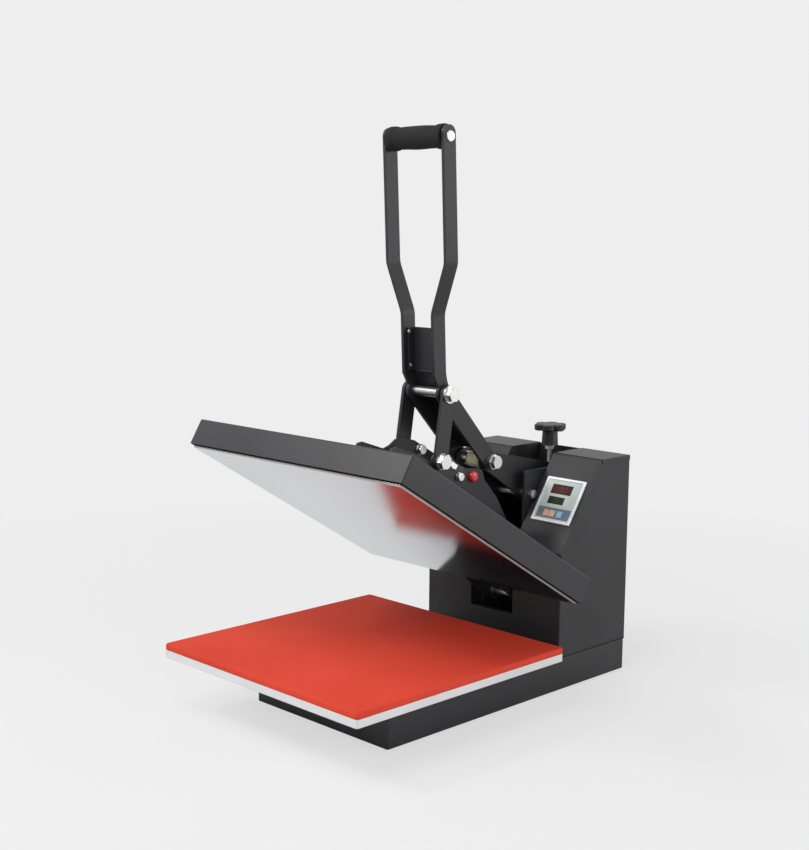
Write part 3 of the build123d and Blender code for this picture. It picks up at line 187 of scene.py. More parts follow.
# Rubber feet: four black moulded discs stuck under the base lips. The rubber is matt,
# with a fine moulded grain and a dusty bloom.
def rubber(name, shade, roughness):
    material, tree, surface = blank(name)
    bloom = grain(tree, 40.0, 4.0)
    fine = grain(tree, 1400.0, 2.0)
    dusty = [part * 1.5 + 0.004 for part in shade]
    tint(tree, bloom, shade, dusty, surface.inputs["Base Color"])
    roughen(tree, surface, fine, roughness - 0.08, roughness + 0.08)
    surface.inputs["IOR"].default_value = 1.45
    relief(tree, surface, [(fine, 0.00008, 0.4)])
    return material


dress("base_feet", rubber("black foot rubber", (0.022, 0.022, 0.023), 0.75), edge=0)


# Platen rails: two folded steel rails that stand across the base and hold the lower
# platen up. They are powder coated like the base.
dress("platen_rails", black_coat)


# Lower platen: a flat steel plate in pale silver enamel that rests on the rails. The pad
# covers its top, so only its rim and its underside show.
def enamel(name, shade, roughness):
    material, tree, surface = blank(name)
    clouds = grain(tree, 14.0, 5.0)
    skin = grain(tree, 600.0, 2.0)
    tint(tree, clouds, times(shade, 0.95), times(shade, 1.03), surface.inputs["Base Color"])
    roughen(tree, surface, clouds, roughness - 0.05, roughness + 0.08)
    surface.inputs["Metallic"].default_value = 0.25
    relief(tree, surface, [(skin, 0.00005, 0.25)])
    return material


silver_enamel = enamel("pale silver enamel", (0.73, 0.73, 0.74), 0.42)
dress("lower_platen", silver_enamel, edge=0.0006, rounds=3)


# Silicone pad: an orange-red sponge sheet laid on the platen. It is cut a little soft at
# its edges, and its skin is matt with fine closed pores.
def ring_outline(half, corner, count, y_middle):
    """Points round a square with round corners, the same count for every size."""
    points = []
    for turn in range(4):
        for step in range(count):
            angle = (turn + step / (count - 1)) * pi / 2
            x = (half - corner) * (1 if turn in (0, 3) else -1) + corner * cos(angle)
            y = (half - corner) * (1 if turn in (0, 1) else -1) + corner * sin(angle)
            points.append((x, y_middle + y))
    return points


def lay_faces(mesh, rows, foot=True, top=True):
    """Lays faces between equal rings of vertices, and over the first and last ring."""
    count = len(rows[0])
    for lower, upper in zip(rows, rows[1:]):
        for i in range(count):
            j = (i + 1) % count
            mesh.faces.new((lower[i], lower[j], upper[j], upper[i]))
    if foot:
        mesh.faces.new(list(reversed(rows[0])))
    if top:
        mesh.faces.new(rows[-1])


def piece_of(name, mesh, material, smooth=True):
    """Turns a bmesh into a named object with one material."""
    data = bpy.data.meshes.new(name)
    for face in mesh.faces:
        face.smooth = smooth
    mesh.to_mesh(data)
    mesh.free()
    data.materials.append(material)
    piece = bpy.data.objects.new(name, data)
    bpy.context.scene.collection.objects.link(piece)
    return piece


def skin_of(name, rings, material, smooth=True):
    """Joins equal rings of points into one closed skin."""
    mesh = bmesh.new()
    lay_faces(mesh, [[mesh.verts.new(point) for point in ring] for ring in rings])
    bmesh.ops.recalc_face_normals(mesh, faces=mesh.faces)
    return piece_of(name, mesh, material, smooth)


def sponge():
    """Closed-cell silicone sponge, cloudy red with fine pores."""
    material, tree, surface = blank("red silicone sponge")
    clouds = grain(tree, 6.0, 3.0)
    pores = grain(tree, 900.0, kind="cells")
    fine = grain(tree, 2400.0, 2.0)
    tint(tree, clouds, (0.62, 0.050, 0.024), (0.70, 0.062, 0.031), surface.inputs["Base Color"])
    roughen(tree, surface, fine, 0.62, 0.80)
    surface.inputs["IOR"].default_value = 1.41
    surface.inputs["Specular IOR Level"].default_value = 0.25
    relief(tree, surface, [(pores, 0.00008, 0.35), (fine, 0.00005, 0.3)])
    return material


pad_low, pad_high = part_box("silicone_pad")
pad_half = (pad_high.x - pad_low.x) / 2
pad_y = (pad_low.y + pad_high.y) / 2
pad_thick = pad_high.z - pad_low.z
pad_corner, pad_least_corner, corner_points = 0.004, 0.002, 9
pad_wave, wave_above = 0.00012, 0.0086
pad_profile = [(0.0010, 0.0), (0.0002, 0.0006), (0.0, 0.0022), (0.00015, 0.0045),
               (0.0, 0.0062), (0.0004, 0.0076), (0.0011, 0.0083), (0.0020, 0.00865),
               (0.0034, 0.0087)]
pad_profile += [(inset, pad_thick) for inset in (0.008, 0.016, 0.03, 0.05, 0.08, 0.11, 0.14, 0.17)]
pad_rings = []
for inset, height in pad_profile:
    ring = []
    corner = max(pad_corner - inset * 0.2, pad_least_corner)
    for x, y in ring_outline(pad_half - inset, corner, corner_points, pad_y):
        swell = pad_wave * (sin(x * 31) + cos(y * 27 + 1)) if height > wave_above else 0.0
        ring.append((x, y, pad_low.z + height + swell))
    pad_rings.append(ring)
pad_sheet = skin_of("silicone_pad_sheet", pad_rings, sponge())
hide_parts("silicone_pad")
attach(pad_sheet, "root")


# Tower housings, caps and sill: folded 1.5 mm sheet on each side of the slot, closed at
# the top by two caps and in front by the sill. All in the same black powder coat.
for name in ("left_housing", "right_housing", "top_caps", "front_sill"):
    dress(name, black_coat, sheet_edge)


# Painted seam shadow: a thin near-black strip in the joint between the tower and the base,
# painted dark for the shade of the gap. It runs round the front and both sides and stands a
# little proud.
seam_low, seam_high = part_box("right_housing")
seam_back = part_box("rear_panel")[1].y
seam_proud, seam_thick = 0.0003, 0.001
seam_below, seam_above = 0.0008, 0.0013
seam_half = seam_high.x + seam_proud
seam_front = seam_low.y - seam_proud
seam_outline = [(-seam_half, seam_back), (-seam_half, seam_front),
                (seam_half, seam_front), (seam_half, seam_back),
                (seam_half - seam_thick, seam_back),
                (seam_half - seam_thick, seam_front + seam_thick),
                (seam_thick - seam_half, seam_front + seam_thick),
                (seam_thick - seam_half, seam_back)]
# This near-black strip paints the shade of the gap at the seam; it is no real part.
seam_shadow_strip = skin_of("tower_seam_shadow",
                 [[(x, y, z) for x, y in seam_outline]
                  for z in (seam_low.z - seam_below, seam_low.z + seam_above)],
                 rubber("black painted seam shade", (0.004, 0.004, 0.004), 0.85), smooth=False)
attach(seam_shadow_strip, "root")


# Rear panel: one coated sheet that closes the back of the tower, with slots to let warm
# air out. Six cross-head screws of zinc-plated steel hold it.
def plated(name, shade, roughness):
    """Plated or ground metal, with a cloudy film and fine marks of its working."""
    material, tree, surface = blank(name)
    film = grain(tree, 160.0, 4.0)
    scratches = grain(tree, 900.0, 2.0, stretch=(1, 0.25, 1))
    tint(tree, film, times(shade, 0.90), shade, surface.inputs["Base Color"])
    roughen(tree, surface, scratches, roughness - 0.05, roughness + 0.08)
    surface.inputs["Metallic"].default_value = 1.0
    relief(tree, surface, [(scratches, 0.00001, 0.15)])
    return material


def circle_of(mesh, radius, height, steps):
    """Adds a ring of vertices at one height to a mesh."""
    return [mesh.verts.new((radius * cos(2 * pi * i / steps), radius * sin(2 * pi * i / steps),
                            height)) for i in range(steps)]


def cross_screw(mesh, radius, height):
    """Adds a pan-head screw with a cross recess to a mesh, standing on z = 0."""
    rim = [(radius, 0.0), (radius, height * 0.35), (radius * 0.93, height * 0.68),
           (radius * 0.76, height * 0.92), (radius * 0.58, height)]
    steps = 24
    rows = [circle_of(mesh, r, z, steps) for r, z in rim]
    lay_faces(mesh, rows, top=False)
    arm, reach = radius * 0.13, radius * 0.48
    narrowing, bottom = 0.7, height * 0.35
    cross = []
    for quarter in range(4):
        for x, y in ((arm, arm), (reach, arm), (reach, -arm)):
            angle = quarter * pi / 2
            cross.append((x * cos(angle) + y * sin(angle), -x * sin(angle) + y * cos(angle)))
    top = [mesh.verts.new((x, y, height)) for x, y in cross]
    deep = [mesh.verts.new((x * narrowing, y * narrowing, bottom)) for x, y in cross]
    count = len(top)
    for i in range(count):
        j = (i + 1) % count
        mesh.faces.new((top[j], top[i], deep[i], deep[j]))
    mesh.faces.new(list(reversed(deep)))
    outer_edges = [mesh.edges.get((rows[-1][i], rows[-1][(i + 1) % steps])) for i in range(steps)]
    inner_edges = [mesh.edges.get((top[i], top[(i + 1) % count])) for i in range(count)]
    bmesh.ops.triangle_fill(mesh, edges=outer_edges + inner_edges, use_beauty=True)


def add_copy(whole, one, spot, out, roll=0.0):
    """Adds a form drawn along +Z to a mesh: it starts at the spot and points out."""
    turn = Vector((0, 0, 1)).rotation_difference(Vector(out)).to_matrix().to_4x4()
    move = Matrix.Translation(Vector(spot)) @ turn @ Matrix.Rotation(roll, 4, "Z")
    bmesh.ops.transform(one, matrix=move, verts=one.verts)
    data = bpy.data.meshes.new("one")
    one.to_mesh(data)
    one.free()
    whole.from_mesh(data)
    bpy.data.meshes.remove(data)


def even_shading(piece):
    """Shades a turned form smoothly, with its flats kept flat."""
    even = piece.modifiers.new("even shading", "WEIGHTED_NORMAL")
    even.keep_sharp = False


def screws(name, spots, out, radius, height, body, material):
    """A group of like cross-head screws that stand on a surface."""
    whole = bmesh.new()
    for number, spot in enumerate(spots):
        one = bmesh.new()
        cross_screw(one, radius, height)
        add_copy(whole, one, spot, out, number * 0.7)
    bmesh.ops.recalc_face_normals(whole, faces=whole.faces)
    piece = piece_of(name, whole, material)
    even_shading(piece)
    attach(piece, body)


dress("rear_panel", black_coat, sheet_edge)
bright_zinc = plated("bright zinc plate", (0.68, 0.68, 0.67), 0.32)
rear_low, rear_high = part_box("rear_panel")
rear_side_inset, rear_end_inset = 0.007, 0.012
rear_x = rear_high.x - rear_side_inset
rear_rows = (rear_low.z + rear_end_inset, (rear_low.z + rear_high.z) / 2,
             rear_high.z - rear_end_inset)
rear_spots = [(sign * rear_x, rear_high.y, z) for sign in (-1, 1) for z in rear_rows]
screws("rear_panel_screws", rear_spots, (0, 1, 0), radius=0.0036, height=0.0021,
       body="root", material=bright_zinc)


# Frame plates: two thick steel plates inside the slot that carry the hinge and the rocker,
# with the screw seat between them. All three are coated black.
for name in ("left_frame_plate", "right_frame_plate", "screw_seat"):
    dress(name, black_coat)


# Hinge: a shaft of ground steel through the frame plates. The lifting arm swings on it,
# on two bushes of bearing bronze.
turned_edge = 0.0003
bare_steel = plated("ground steel", (0.56, 0.56, 0.57), 0.30)
bearing_bronze = plated("bearing bronze", (0.36, 0.25, 0.13), 0.40)
dress("hinge_shaft", bare_steel, turned_edge)
dress("hinge_bushes", bearing_bronze, turned_edge)


# Rocker: a folded and coated steel channel. It swings on a zinc-plated bolt between the
# frame plates, and the screw pushes it down at the rear.
dress("pressure_rocker", black_coat)
dress("rocker_pivot_bolt", bright_zinc, turned_edge)


# Pressure screw: a plated screw in a ground steel nut, with a collar under the knob. The
# knob is a six-lobed star in moulded black plastic.
def moulded(name, shade, roughness, depth=0.00005):
    material, tree, surface = blank(name)
    spark = grain(tree, 1500.0, 2.0)
    clouds = grain(tree, 30.0, 3.0)
    tint(tree, clouds, times(shade, 0.9), times(shade, 1.1), surface.inputs["Base Color"])
    roughen(tree, surface, spark, roughness - 0.06, roughness + 0.08)
    surface.inputs["IOR"].default_value = 1.5
    relief(tree, surface, [(spark, depth, 0.35)])
    return material


pin_edge = 0.0002
dress("pressure_screw", bright_zinc, edge=0)
dress("screw_nut", bare_steel, pin_edge)
dress("screw_collar", bright_zinc, turned_edge)
black_plastic = moulded("moulded black plastic", (0.009, 0.009, 0.0095), 0.42)
dress("pressure_knob", black_plastic, edge=0)


# Lifting arm: two tall side plates on a foot plate, tied by webs, all welded up and coated.
# A plated bolt stands on each side plate, and a ground pin at the tail takes the springs.
def turned(mesh, profile, steps=24):
    """Adds a turned form to a mesh: profile is radius and height from the bottom up."""
    lay_faces(mesh, [circle_of(mesh, radius, height, steps) for radius, height in profile])


def hex_bolt(mesh, flats, height, washer):
    """Adds a hexagon bolt head on its washer to a mesh, standing on z = 0."""
    washer_side, washer_top, steps = 0.0011, 0.0014, 24
    turned(mesh, [(washer, 0.0), (washer, washer_side), (washer * 0.97, washer_top),
                  (flats * 0.42, washer_top)], steps=28)
    corner = flats / (2 * cos(pi / 6))
    rings = []
    for radius, z, blend in ((1.0, washer_top, 0.0), (1.0, height * 0.82, 0.0),
                             (0.92, height, 1.0), (0.80, height, 1.0)):
        ring = []
        for i in range(steps):
            angle = 2 * pi * i / steps
            side = (angle % (pi / 3)) - pi / 6
            hexagon = corner * cos(pi / 6) / cos(side)
            reach = radius * (hexagon * (1 - blend) + flats / 2 * 1.04 * blend)
            ring.append(mesh.verts.new((reach * cos(angle), reach * sin(angle), z)))
        rings.append(ring)
    lay_faces(mesh, rings)


def break_edges(piece, angle):
    """Breaks the edges of a scene piece that are sharper than the angle."""
    soft = piece.modifiers.new("broken edges", "BEVEL")
    soft.width = 0.0003
    soft.segments = 2
    soft.limit_method = "ANGLE"
    soft.angle_limit = radians(angle)


def arm_bolt(name, spot, flats, height, washer):
    """One hexagon bolt on its washer, square to the arm's side plates."""
    whole = bmesh.new()
    one = bmesh.new()
    hex_bolt(one, flats, height, washer)
    add_copy(whole, one, spot, (1, 0, 0), 0.4)
    bmesh.ops.recalc_face_normals(whole, faces=whole.faces)
    piece = piece_of(name, whole, bright_zinc, False)
    break_edges(piece, 35)
    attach(piece, "lift_arm")


for name in ("left_arm_plate", "right_arm_plate", "arm_base", "arm_web"):
    dress(name, black_coat)
dress("spring_pin", bare_steel, pin_edge)
outer_face, inner_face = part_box("right_arm_plate")[1].x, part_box("left_arm_plate")[1].x
arm_bolt("arm_plate_bolt", (outer_face, 0.0332, 0.3115), flats=0.0112, height=0.0062,
         washer=0.0062)
arm_bolt("arm_inner_bolt", (inner_face, 0.0232, 0.3428), flats=0.0130, height=0.0072,
         washer=0.0080)


# Upper cover: a folded tray of 1.5 mm sheet over the board and the heating plate, coated
# black. Six plated bolts hold the arm's foot plate on it.
dress("upper_cover", black_coat, sheet_edge)
dress("cover_bolts", bright_zinc, turned_edge)


# Heating plate: cast aluminium, ground flat, with the wound heater on its back. Its face
# has a smooth grey non-stick coat that mirrors what lies below it; its edges are bare.
heated_side = (0, -0.51653, -0.85627)


def heating_coat():
    material, tree, surface = blank("grey non-stick coat")
    clouds = grain(tree, 7.0, 4.0)
    fine = grain(tree, 1100.0, 2.0)
    place = tree.nodes.new("ShaderNodeTexCoord")
    facing = tree.nodes.new("ShaderNodeVectorMath")
    facing.operation = "DOT_PRODUCT"
    facing.inputs[1].default_value = heated_side
    tree.links.new(place.outputs["Normal"], facing.inputs[0])
    shade = tree.nodes.new("ShaderNodeMix")
    shade.data_type = "RGBA"
    shade.inputs["A"].default_value = (0.22, 0.20, 0.20, 1)
    on_face = spread(tree, facing.outputs["Value"], 0.0, 1.0, 0.55, 0.9)
    tree.links.new(on_face, shade.inputs["Factor"])
    tint(tree, clouds, (0.64, 0.65, 0.69), (0.71, 0.72, 0.76), shade.inputs["B"])
    tree.links.new(shade.outputs["Result"], surface.inputs["Base Color"])
    roughen(tree, surface, clouds, 0.10, 0.16)
    surface.inputs["Metallic"].default_value = 1.0
    relief(tree, surface, [(fine, 0.00002, 0.15)])
    return material


dress("heating_plate", heating_coat(), rounds=3)
dress("heater_element", bare_steel, pin_edge)


# Insulation board: pressed mineral fibre, cut to fill the cover. It is clamped between the
# heating plate and the cover.
def fibre_board():
    material, tree, surface = blank("pressed mineral fibre")
    fibres = grain(tree, 500.0, 5.0, stretch=(1, 0.3, 1))
    tint(tree, fibres, (0.50, 0.47, 0.38), (0.72, 0.69, 0.60), surface.inputs["Base Color"])
    surface.inputs["Roughness"].default_value = 0.9
    relief(tree, surface, [(fibres, 0.0004, 0.6)])
    return material


dress("insulation_board", fibre_board(), edge=0)


# Indicator lamp: a domed lens in clear red plastic, pressed into the lifting arm's right
# side plate.
def lens_red():
    material, tree, surface = blank("red lens")
    depth = grain(tree, 220.0, 2.0)
    tint(tree, depth, (0.50, 0.010, 0.012), (0.72, 0.022, 0.02), surface.inputs["Base Color"])
    surface.inputs["Roughness"].default_value = 0.12
    surface.inputs["Coat Weight"].default_value = 0.6
    surface.inputs["Coat Roughness"].default_value = 0.05
    relief(tree, surface, [(depth, 0.00005, 0.1)])
    return material


red_lens = lens_red()
dress("indicator_lamp", red_lens, edge=0)


# Toggle: coated rear arms from the rocker to the knee, and front links from the knee to the
# arm. A turned nylon roller and ground pins with plated heads join them.
for name in ("left_rear_arm", "right_rear_arm", "left_front_link", "right_front_link"):
    dress(name, black_coat)
dress("toggle_roller", moulded("cream nylon", (0.90, 0.85, 0.56), 0.30), edge=0)
for name in ("toggle_pin", "knee_shaft"):
    dress(name, bare_steel, pin_edge)
for name in ("toggle_pin_ends", "link_pins", "knee_bolt"):
    dress(name, bright_zinc, turned_edge)


# Handle: two flat steel bars, joggled apart towards the grip, with a folded web welded
# between them. All are coated black.
for name in ("left_handle_bar", "right_handle_bar", "handle_web"):
    dress(name, black_coat)


# Handle welds and sheet lip: a bead across the foot of the web, a lip folded up at the end
# of the sheet along the rear arms, and a corner weld on each bar. All coated black.
bead_half, bead_steps, bead_sides = 0.0259, 104, 10
bead_y, bead_z = 0.0066, 0.4562
bead_radius, bead_ripple, bead_flatness = 0.0016, 0.00018, 1.2
bead = []
for i in range(bead_steps + 1):
    along = -bead_half + 2 * bead_half * i / bead_steps
    fat = bead_radius + bead_ripple * sin(i * 1.9)
    bead.append([(along, bead_y + fat * bead_flatness * cos(2 * pi * k / bead_sides),
                  bead_z + fat * sin(2 * pi * k / bead_sides)) for k in range(bead_sides)])
web_weld = skin_of("web_weld_bead", bead, black_coat)
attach(web_weld, "handle")

sheet_y, sheet_z = 0.1038, 0.3244
run_y, run_z = -0.682, 0.731
lip_end, lip_start, lip_foot, lip_top, lip_half = 0.0255, 0.0110, 0.01035, 0.01225, 0.0258
lip = [(sheet_y + run_y * along + run_z * rise, sheet_z + run_z * along - run_y * rise)
       for along, rise in ((lip_end, lip_foot), (lip_start, lip_foot),
                           (lip_start, lip_top), (lip_end, lip_top))]
sheet_lip = skin_of("arm_sheet_lip", [[(x, y, z) for y, z in lip] for x in (-lip_half, lip_half)],
                    black_coat, smooth=False)
break_edges(sheet_lip, 30)
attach(sheet_lip, "handle")

weld_inner, weld_outer = 0.0263, 0.0307
corner_weld = [(0.0088, 0.4560), (0.0093, 0.4380), (0.0150, 0.4340), (0.0165, 0.4370),
               (0.0134, 0.4410), (0.0117, 0.4450), (0.0104, 0.4500), (0.0094, 0.4550)]
for side, sign in (("left", -1), ("right", 1)):
    lever_weld = skin_of(side + "_lever_weld",
                         [[(sign * x, y, z) for y, z in corner_weld]
                          for x in (weld_inner, weld_outer)], black_coat, smooth=False)
    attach(lever_weld, "handle")


# Web screws: two cross-head screws of zinc-plated steel in the left flange of the web. One
# sits near its top and the other near its foot.
flange_face = -0.0239
web_spots = [(flange_face, -0.0085, 0.5105), (flange_face, -0.0045, 0.4640)]
screws("web_screws", web_spots, (1, 0, 0), radius=0.0026, height=0.0014,
       body="handle", material=bright_zinc)


# Grip: a sleeve of black foam rubber pulled over a steel tube, thicker at both ends. A
# plated bolt at each end holds the tube between the handle bars.
def foam():
    material, tree, surface = blank("black foam rubber")
    cells = grain(tree, 1100.0, kind="cells")
    clouds = grain(tree, 45.0, 3.0)
    tint(tree, clouds, (0.010, 0.010, 0.0105), (0.018, 0.018, 0.0185),
         surface.inputs["Base Color"])
    surface.inputs["Specular IOR Level"].default_value = 0.2
    roughen(tree, surface, cells, 0.62, 0.86, 0.1, 0.6)
    relief(tree, surface, [(cells, 0.00018, 0.6)])
    return material


dress("grip_tube", bare_steel, pin_edge)
dress("grip_bolts", bright_zinc, turned_edge)
sleeve_low, sleeve_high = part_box("grip_sleeve")
sleeve_half = (sleeve_high.x - sleeve_low.x) / 2
sleeve_y = (sleeve_low.y + sleeve_high.y) / 2
sleeve_z = (sleeve_low.z + sleeve_high.z) / 2
sleeve_steps, sleeve_ripple, ripple_from = 64, 0.00012, 0.012
sleeve_profile = [(-1.0, 0.0092), (-1.0, 0.0148), (-0.992, 0.0158), (-0.975, 0.0163),
                  (-0.95, 0.0165), (-0.86, 0.01648), (-0.79, 0.0164), (-0.765, 0.0161),
                  (-0.745, 0.0155), (-0.72, 0.0150), (-0.69, 0.0148), (-0.6, 0.0149),
                  (-0.4, 0.0152), (-0.2, 0.0156), (0.0, 0.01572)]
sleeve_profile += [(-x, r) for x, r in reversed(sleeve_profile[:-1])]
sleeve = bmesh.new()
sleeve_rows = []
for place, radius in sleeve_profile:
    row = []
    for i in range(sleeve_steps):
        angle = 2 * pi * i / sleeve_steps
        wave = sleeve_ripple * sin(angle * 3 + place * 9) if radius > ripple_from else 0.0
        r = radius + wave
        row.append(sleeve.verts.new((place * sleeve_half, sleeve_y + r * cos(angle),
                                     sleeve_z + r * sin(angle))))
    sleeve_rows.append(row)
lay_faces(sleeve, sleeve_rows + sleeve_rows[:1], foot=False, top=False)
bmesh.ops.recalc_face_normals(sleeve, faces=sleeve.faces)
foam_sleeve = piece_of("foam_sleeve", sleeve, foam())
even_shading(foam_sleeve)
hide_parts("grip_sleeve")
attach(foam_sleeve, "handle")


# Control panel: a bright plastic rim clipped into the slope of the right housing, round a
# pale printed film.
def satin(name, shade, roughness, metallic):
    material, tree, surface = blank(name)
    brushed = grain(tree, 700.0, 3.0, stretch=(0.05, 1, 1))
    tint(tree, brushed, times(shade, 0.93), shade, surface.inputs["Base Color"])
    surface.inputs["Roughness"].default_value = roughness
    surface.inputs["Metallic"].default_value = metallic
    relief(tree, surface, [(brushed, 0.00002, 0.2)])
    return material


moulded_edge, film_edge, smooth_skin = 0.0003, 0.0001, 0.00001
bright_rim = satin("bright rim", (0.86, 0.87, 0.87), 0.35, 0.2)
pale_film = moulded("pale film", (0.55, 0.63, 0.61), 0.32, smooth_skin)
dress("panel_frame", bright_rim, moulded_edge)
dress("panel_face", pale_film, film_edge)


# Displays: two windows of tinted plastic set in the film, red over green, with dim
# seven-segment digits behind them.
window_low, window_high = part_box("display_windows")
window_split = (window_low.z + window_high.z) / 2
print_thick, split_blur = 0.00012, 0.0004
slope_out = Vector((0, -0.82748, 0.56150))
slope_up = Vector((0, 0.56150, 0.82748))


def smoked_window():
    """Tinted plastic: red over the upper display and green over the lower one."""
    material, tree, surface = blank("smoked window")
    place = tree.nodes.new("ShaderNodeTexCoord")
    split = tree.nodes.new("ShaderNodeSeparateXYZ")
    tree.links.new(place.outputs["Object"], split.inputs["Vector"])
    haze = grain(tree, 300.0, 2.0)
    tint(tree, split.outputs["Z"], (0.020, 0.030, 0.012), (0.060, 0.014, 0.008),
         surface.inputs["Base Color"], window_split - split_blur, window_split + split_blur)
    roughen(tree, surface, haze, 0.30, 0.42)
    surface.inputs["Specular IOR Level"].default_value = 0.12
    return material


def slope_box(name, above=None, below=None):
    """Sides of a node on the panel slope: low and high in x, up and out."""
    spots = [nodes[name].matrix_world @ v.co for v in nodes[name].data.vertices]
    spots = [v for v in spots if (above is None or v.z > above) and (below is None or v.z < below)]
    rows = [[v.x for v in spots], [v.dot(slope_up) for v in spots],
            [v.dot(slope_out) for v in spots]]
    return [(min(row), max(row)) for row in rows]


def slab_on_slope(mesh, x, up, out, thick):
    """Adds a thin slab to a mesh: x and up are its sides, out is where it starts."""
    corners = []
    for level in (out, out + thick):
        for a, b in ((0, 0), (1, 0), (1, 1), (0, 1)):
            spot = slope_up * up[b] + slope_out * level
            corners.append(mesh.verts.new((x[a], spot.y, spot.z)))
    for face in ((3, 2, 1, 0), (4, 5, 6, 7), (0, 1, 5, 4),
                 (1, 2, 6, 5), (2, 3, 7, 6), (3, 0, 4, 7)):
        mesh.faces.new([corners[i] for i in face])


def lit_segments(name, number, box, shade):
    """Seven-segment digits on a window, dim as they are in daylight."""
    bars = {"0": "abcdef", "1": "bc", "6": "afgedc", "8": "abcdefg"}
    (x_low, x_high), (up_low, up_high), out_high = box[0], box[1], box[2][1]
    tall = (up_high - up_low) * 0.56
    wide = tall * 0.52
    bar = tall * 0.085
    gap = bar * 0.08
    pitch = wide * 1.55
    left = (x_low + x_high) / 2 - pitch * (len(number) - 1) / 2 - wide / 2
    foot = (up_low + up_high) / 2 - tall / 2
    half = tall / 2
    lower, upper = (foot + bar, foot + half - bar), (foot + half + bar, foot + tall - bar)
    mesh = bmesh.new()
    for place, digit in enumerate(number):
        x = left + pitch * place
        middle = (x + bar, x + wide - bar)
        left_side, right_side = (x, x + bar), (x + wide - bar, x + wide)
        sides = {"a": (middle, (foot + tall - bar, foot + tall)),
                 "g": (middle, (foot + half - bar / 2, foot + half + bar / 2)),
                 "d": (middle, (foot, foot + bar)),
                 "f": (left_side, upper),
                 "b": (right_side, upper),
                 "e": (left_side, lower),
                 "c": (right_side, lower)}
        for part in bars[digit]:
            across, up = [(low + gap, high - gap) for low, high in sides[part]]
            slab_on_slope(mesh, across, up, out_high, print_thick)
    bmesh.ops.recalc_face_normals(mesh, faces=mesh.faces)
    piece = piece_of(name, mesh, moulded(name + " colour", shade, 0.45, smooth_skin), False)
    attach(piece, "root")


dress("display_windows", smoked_window(), edge=0)
lit_segments("red_digits", "180", slope_box("display_windows", above=window_split),
             (0.22, 0.030, 0.012))
lit_segments("green_digits", "60", slope_box("display_windows", below=window_split),
             (0.055, 0.10, 0.025))


# Keys: three soft moulded keys that come up through the film, in two rose shades and light
# blue. A printed band runs round them, grey at its left end and blue-grey at its right.
face_low, face_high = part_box("panel_face")
shade_inset = 0.010


def strip_print():
    material, tree, surface = blank("printed key band")
    place = tree.nodes.new("ShaderNodeTexCoord")
    split = tree.nodes.new("ShaderNodeSeparateXYZ")
    tree.links.new(place.outputs["Object"], split.inputs["Vector"])
    tint(tree, split.outputs["X"], (0.17, 0.19, 0.19), (0.13, 0.19, 0.28),
         surface.inputs["Base Color"], face_low.x + shade_inset, face_high.x - shade_inset)
    haze = grain(tree, 500.0, 2.0)
    roughen(tree, surface, haze, 0.38, 0.50)
    return material


face_box = slope_box("panel_face")
key_boxes = [slope_box(name) for name in ("set_key", "lower_key", "raise_key")]
key_gap, band_inset, band_over_keys = 0.0004, 0.0022, 0.0045
key_foot, key_top = key_boxes[0][1]
band_x = [face_box[0][0] + band_inset]
for key in key_boxes:
    band_x += [key[0][0] - key_gap, key[0][1] + key_gap]
band_x.append(face_box[0][1] - band_inset)
band_up = [face_box[1][0] + band_inset, key_foot - key_gap, key_top + key_gap,
           key_top + band_over_keys]
cells = [(column, row) for column in range(len(band_x) - 1) for row in range(len(band_up) - 1)
         if not (row == 1 and column % 2 == 1)]
band = bmesh.new()
spots = {}


def band_corner(column, row, level):
    """One shared corner of the band's cells: level 0 lies on the film and 1 is its top."""
    if (column, row, level) not in spots:
        spot = slope_up * band_up[row] + slope_out * (face_box[2][1] + print_thick * level)
        spots[column, row, level] = band.verts.new((band_x[column], spot.y, spot.z))
    return spots[column, row, level]


for column, row in cells:
    around = [(column, row), (column + 1, row), (column + 1, row + 1), (column, row + 1)]
    beyond = [(column, row - 1), (column + 1, row), (column, row + 1), (column - 1, row)]
    band.faces.new([band_corner(*spot, 1) for spot in around])
    band.faces.new([band_corner(*spot, 0) for spot in reversed(around)])
    for side in range(4):
        if beyond[side] not in cells:
            here, there = around[side], around[(side + 1) % 4]
            band.faces.new([band_corner(*here, 0), band_corner(*there, 0),
                            band_corner(*there, 1), band_corner(*here, 1)])
bmesh.ops.recalc_face_normals(band, faces=band.faces)
key_band = piece_of("printed_key_band", band, strip_print(), False)
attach(key_band, "root")
dress("set_key", moulded("rose key", (0.80, 0.42, 0.34), 0.40), edge=0)
dress("lower_key", moulded("pale rose key", (0.84, 0.50, 0.42), 0.40), edge=0)
dress("raise_key", moulded("light blue key", (0.34, 0.58, 0.74), 0.40), edge=0)


# Controller and relay: two moulded black boxes inside the tower. The controller sits
# behind the panel, and the relay on the base in the left housing.
dress("controller_body", black_plastic)
dress("power_relay", black_plastic)


# Mains inlet and switch: moulded black plastic snapped into the rear panel. The switch has
# a rocker of clear red plastic.
dress("power_inlet", black_plastic, moulded_edge)
dress("switch_bezel", black_plastic, moulded_edge)
dress("power_switch", red_lens, moulded_edge)


# Lift springs: two coils of 3 mm steel wire, clamped to the base at their foot and hooked
# over the tail pin of the lifting arm. They stretch as the press shuts.
spring_low, spring_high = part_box("lift_springs")
pin_low, pin_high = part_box("spring_pin")
spring_y = (spring_low.y + spring_high.y) / 2
pin_y = (pin_low.y + pin_high.y) / 2
pin_z = (pin_low.z + pin_high.z) / 2
pin_radius = (pin_high.z - pin_low.z) / 2
wire, coil_radius, coil_outer = 0.0015, 0.009, 0.0105
spring_x = spring_high.x - coil_outer
coil_turns, closed_turns, turn_steps = 6.25, 0.9, 24
coil_to_pin, hook_gap, hook_shift, hook_angle = 0.0062, 0.0002, 0.0006, radians(270)
lead_steps, hook_steps = 8, 16


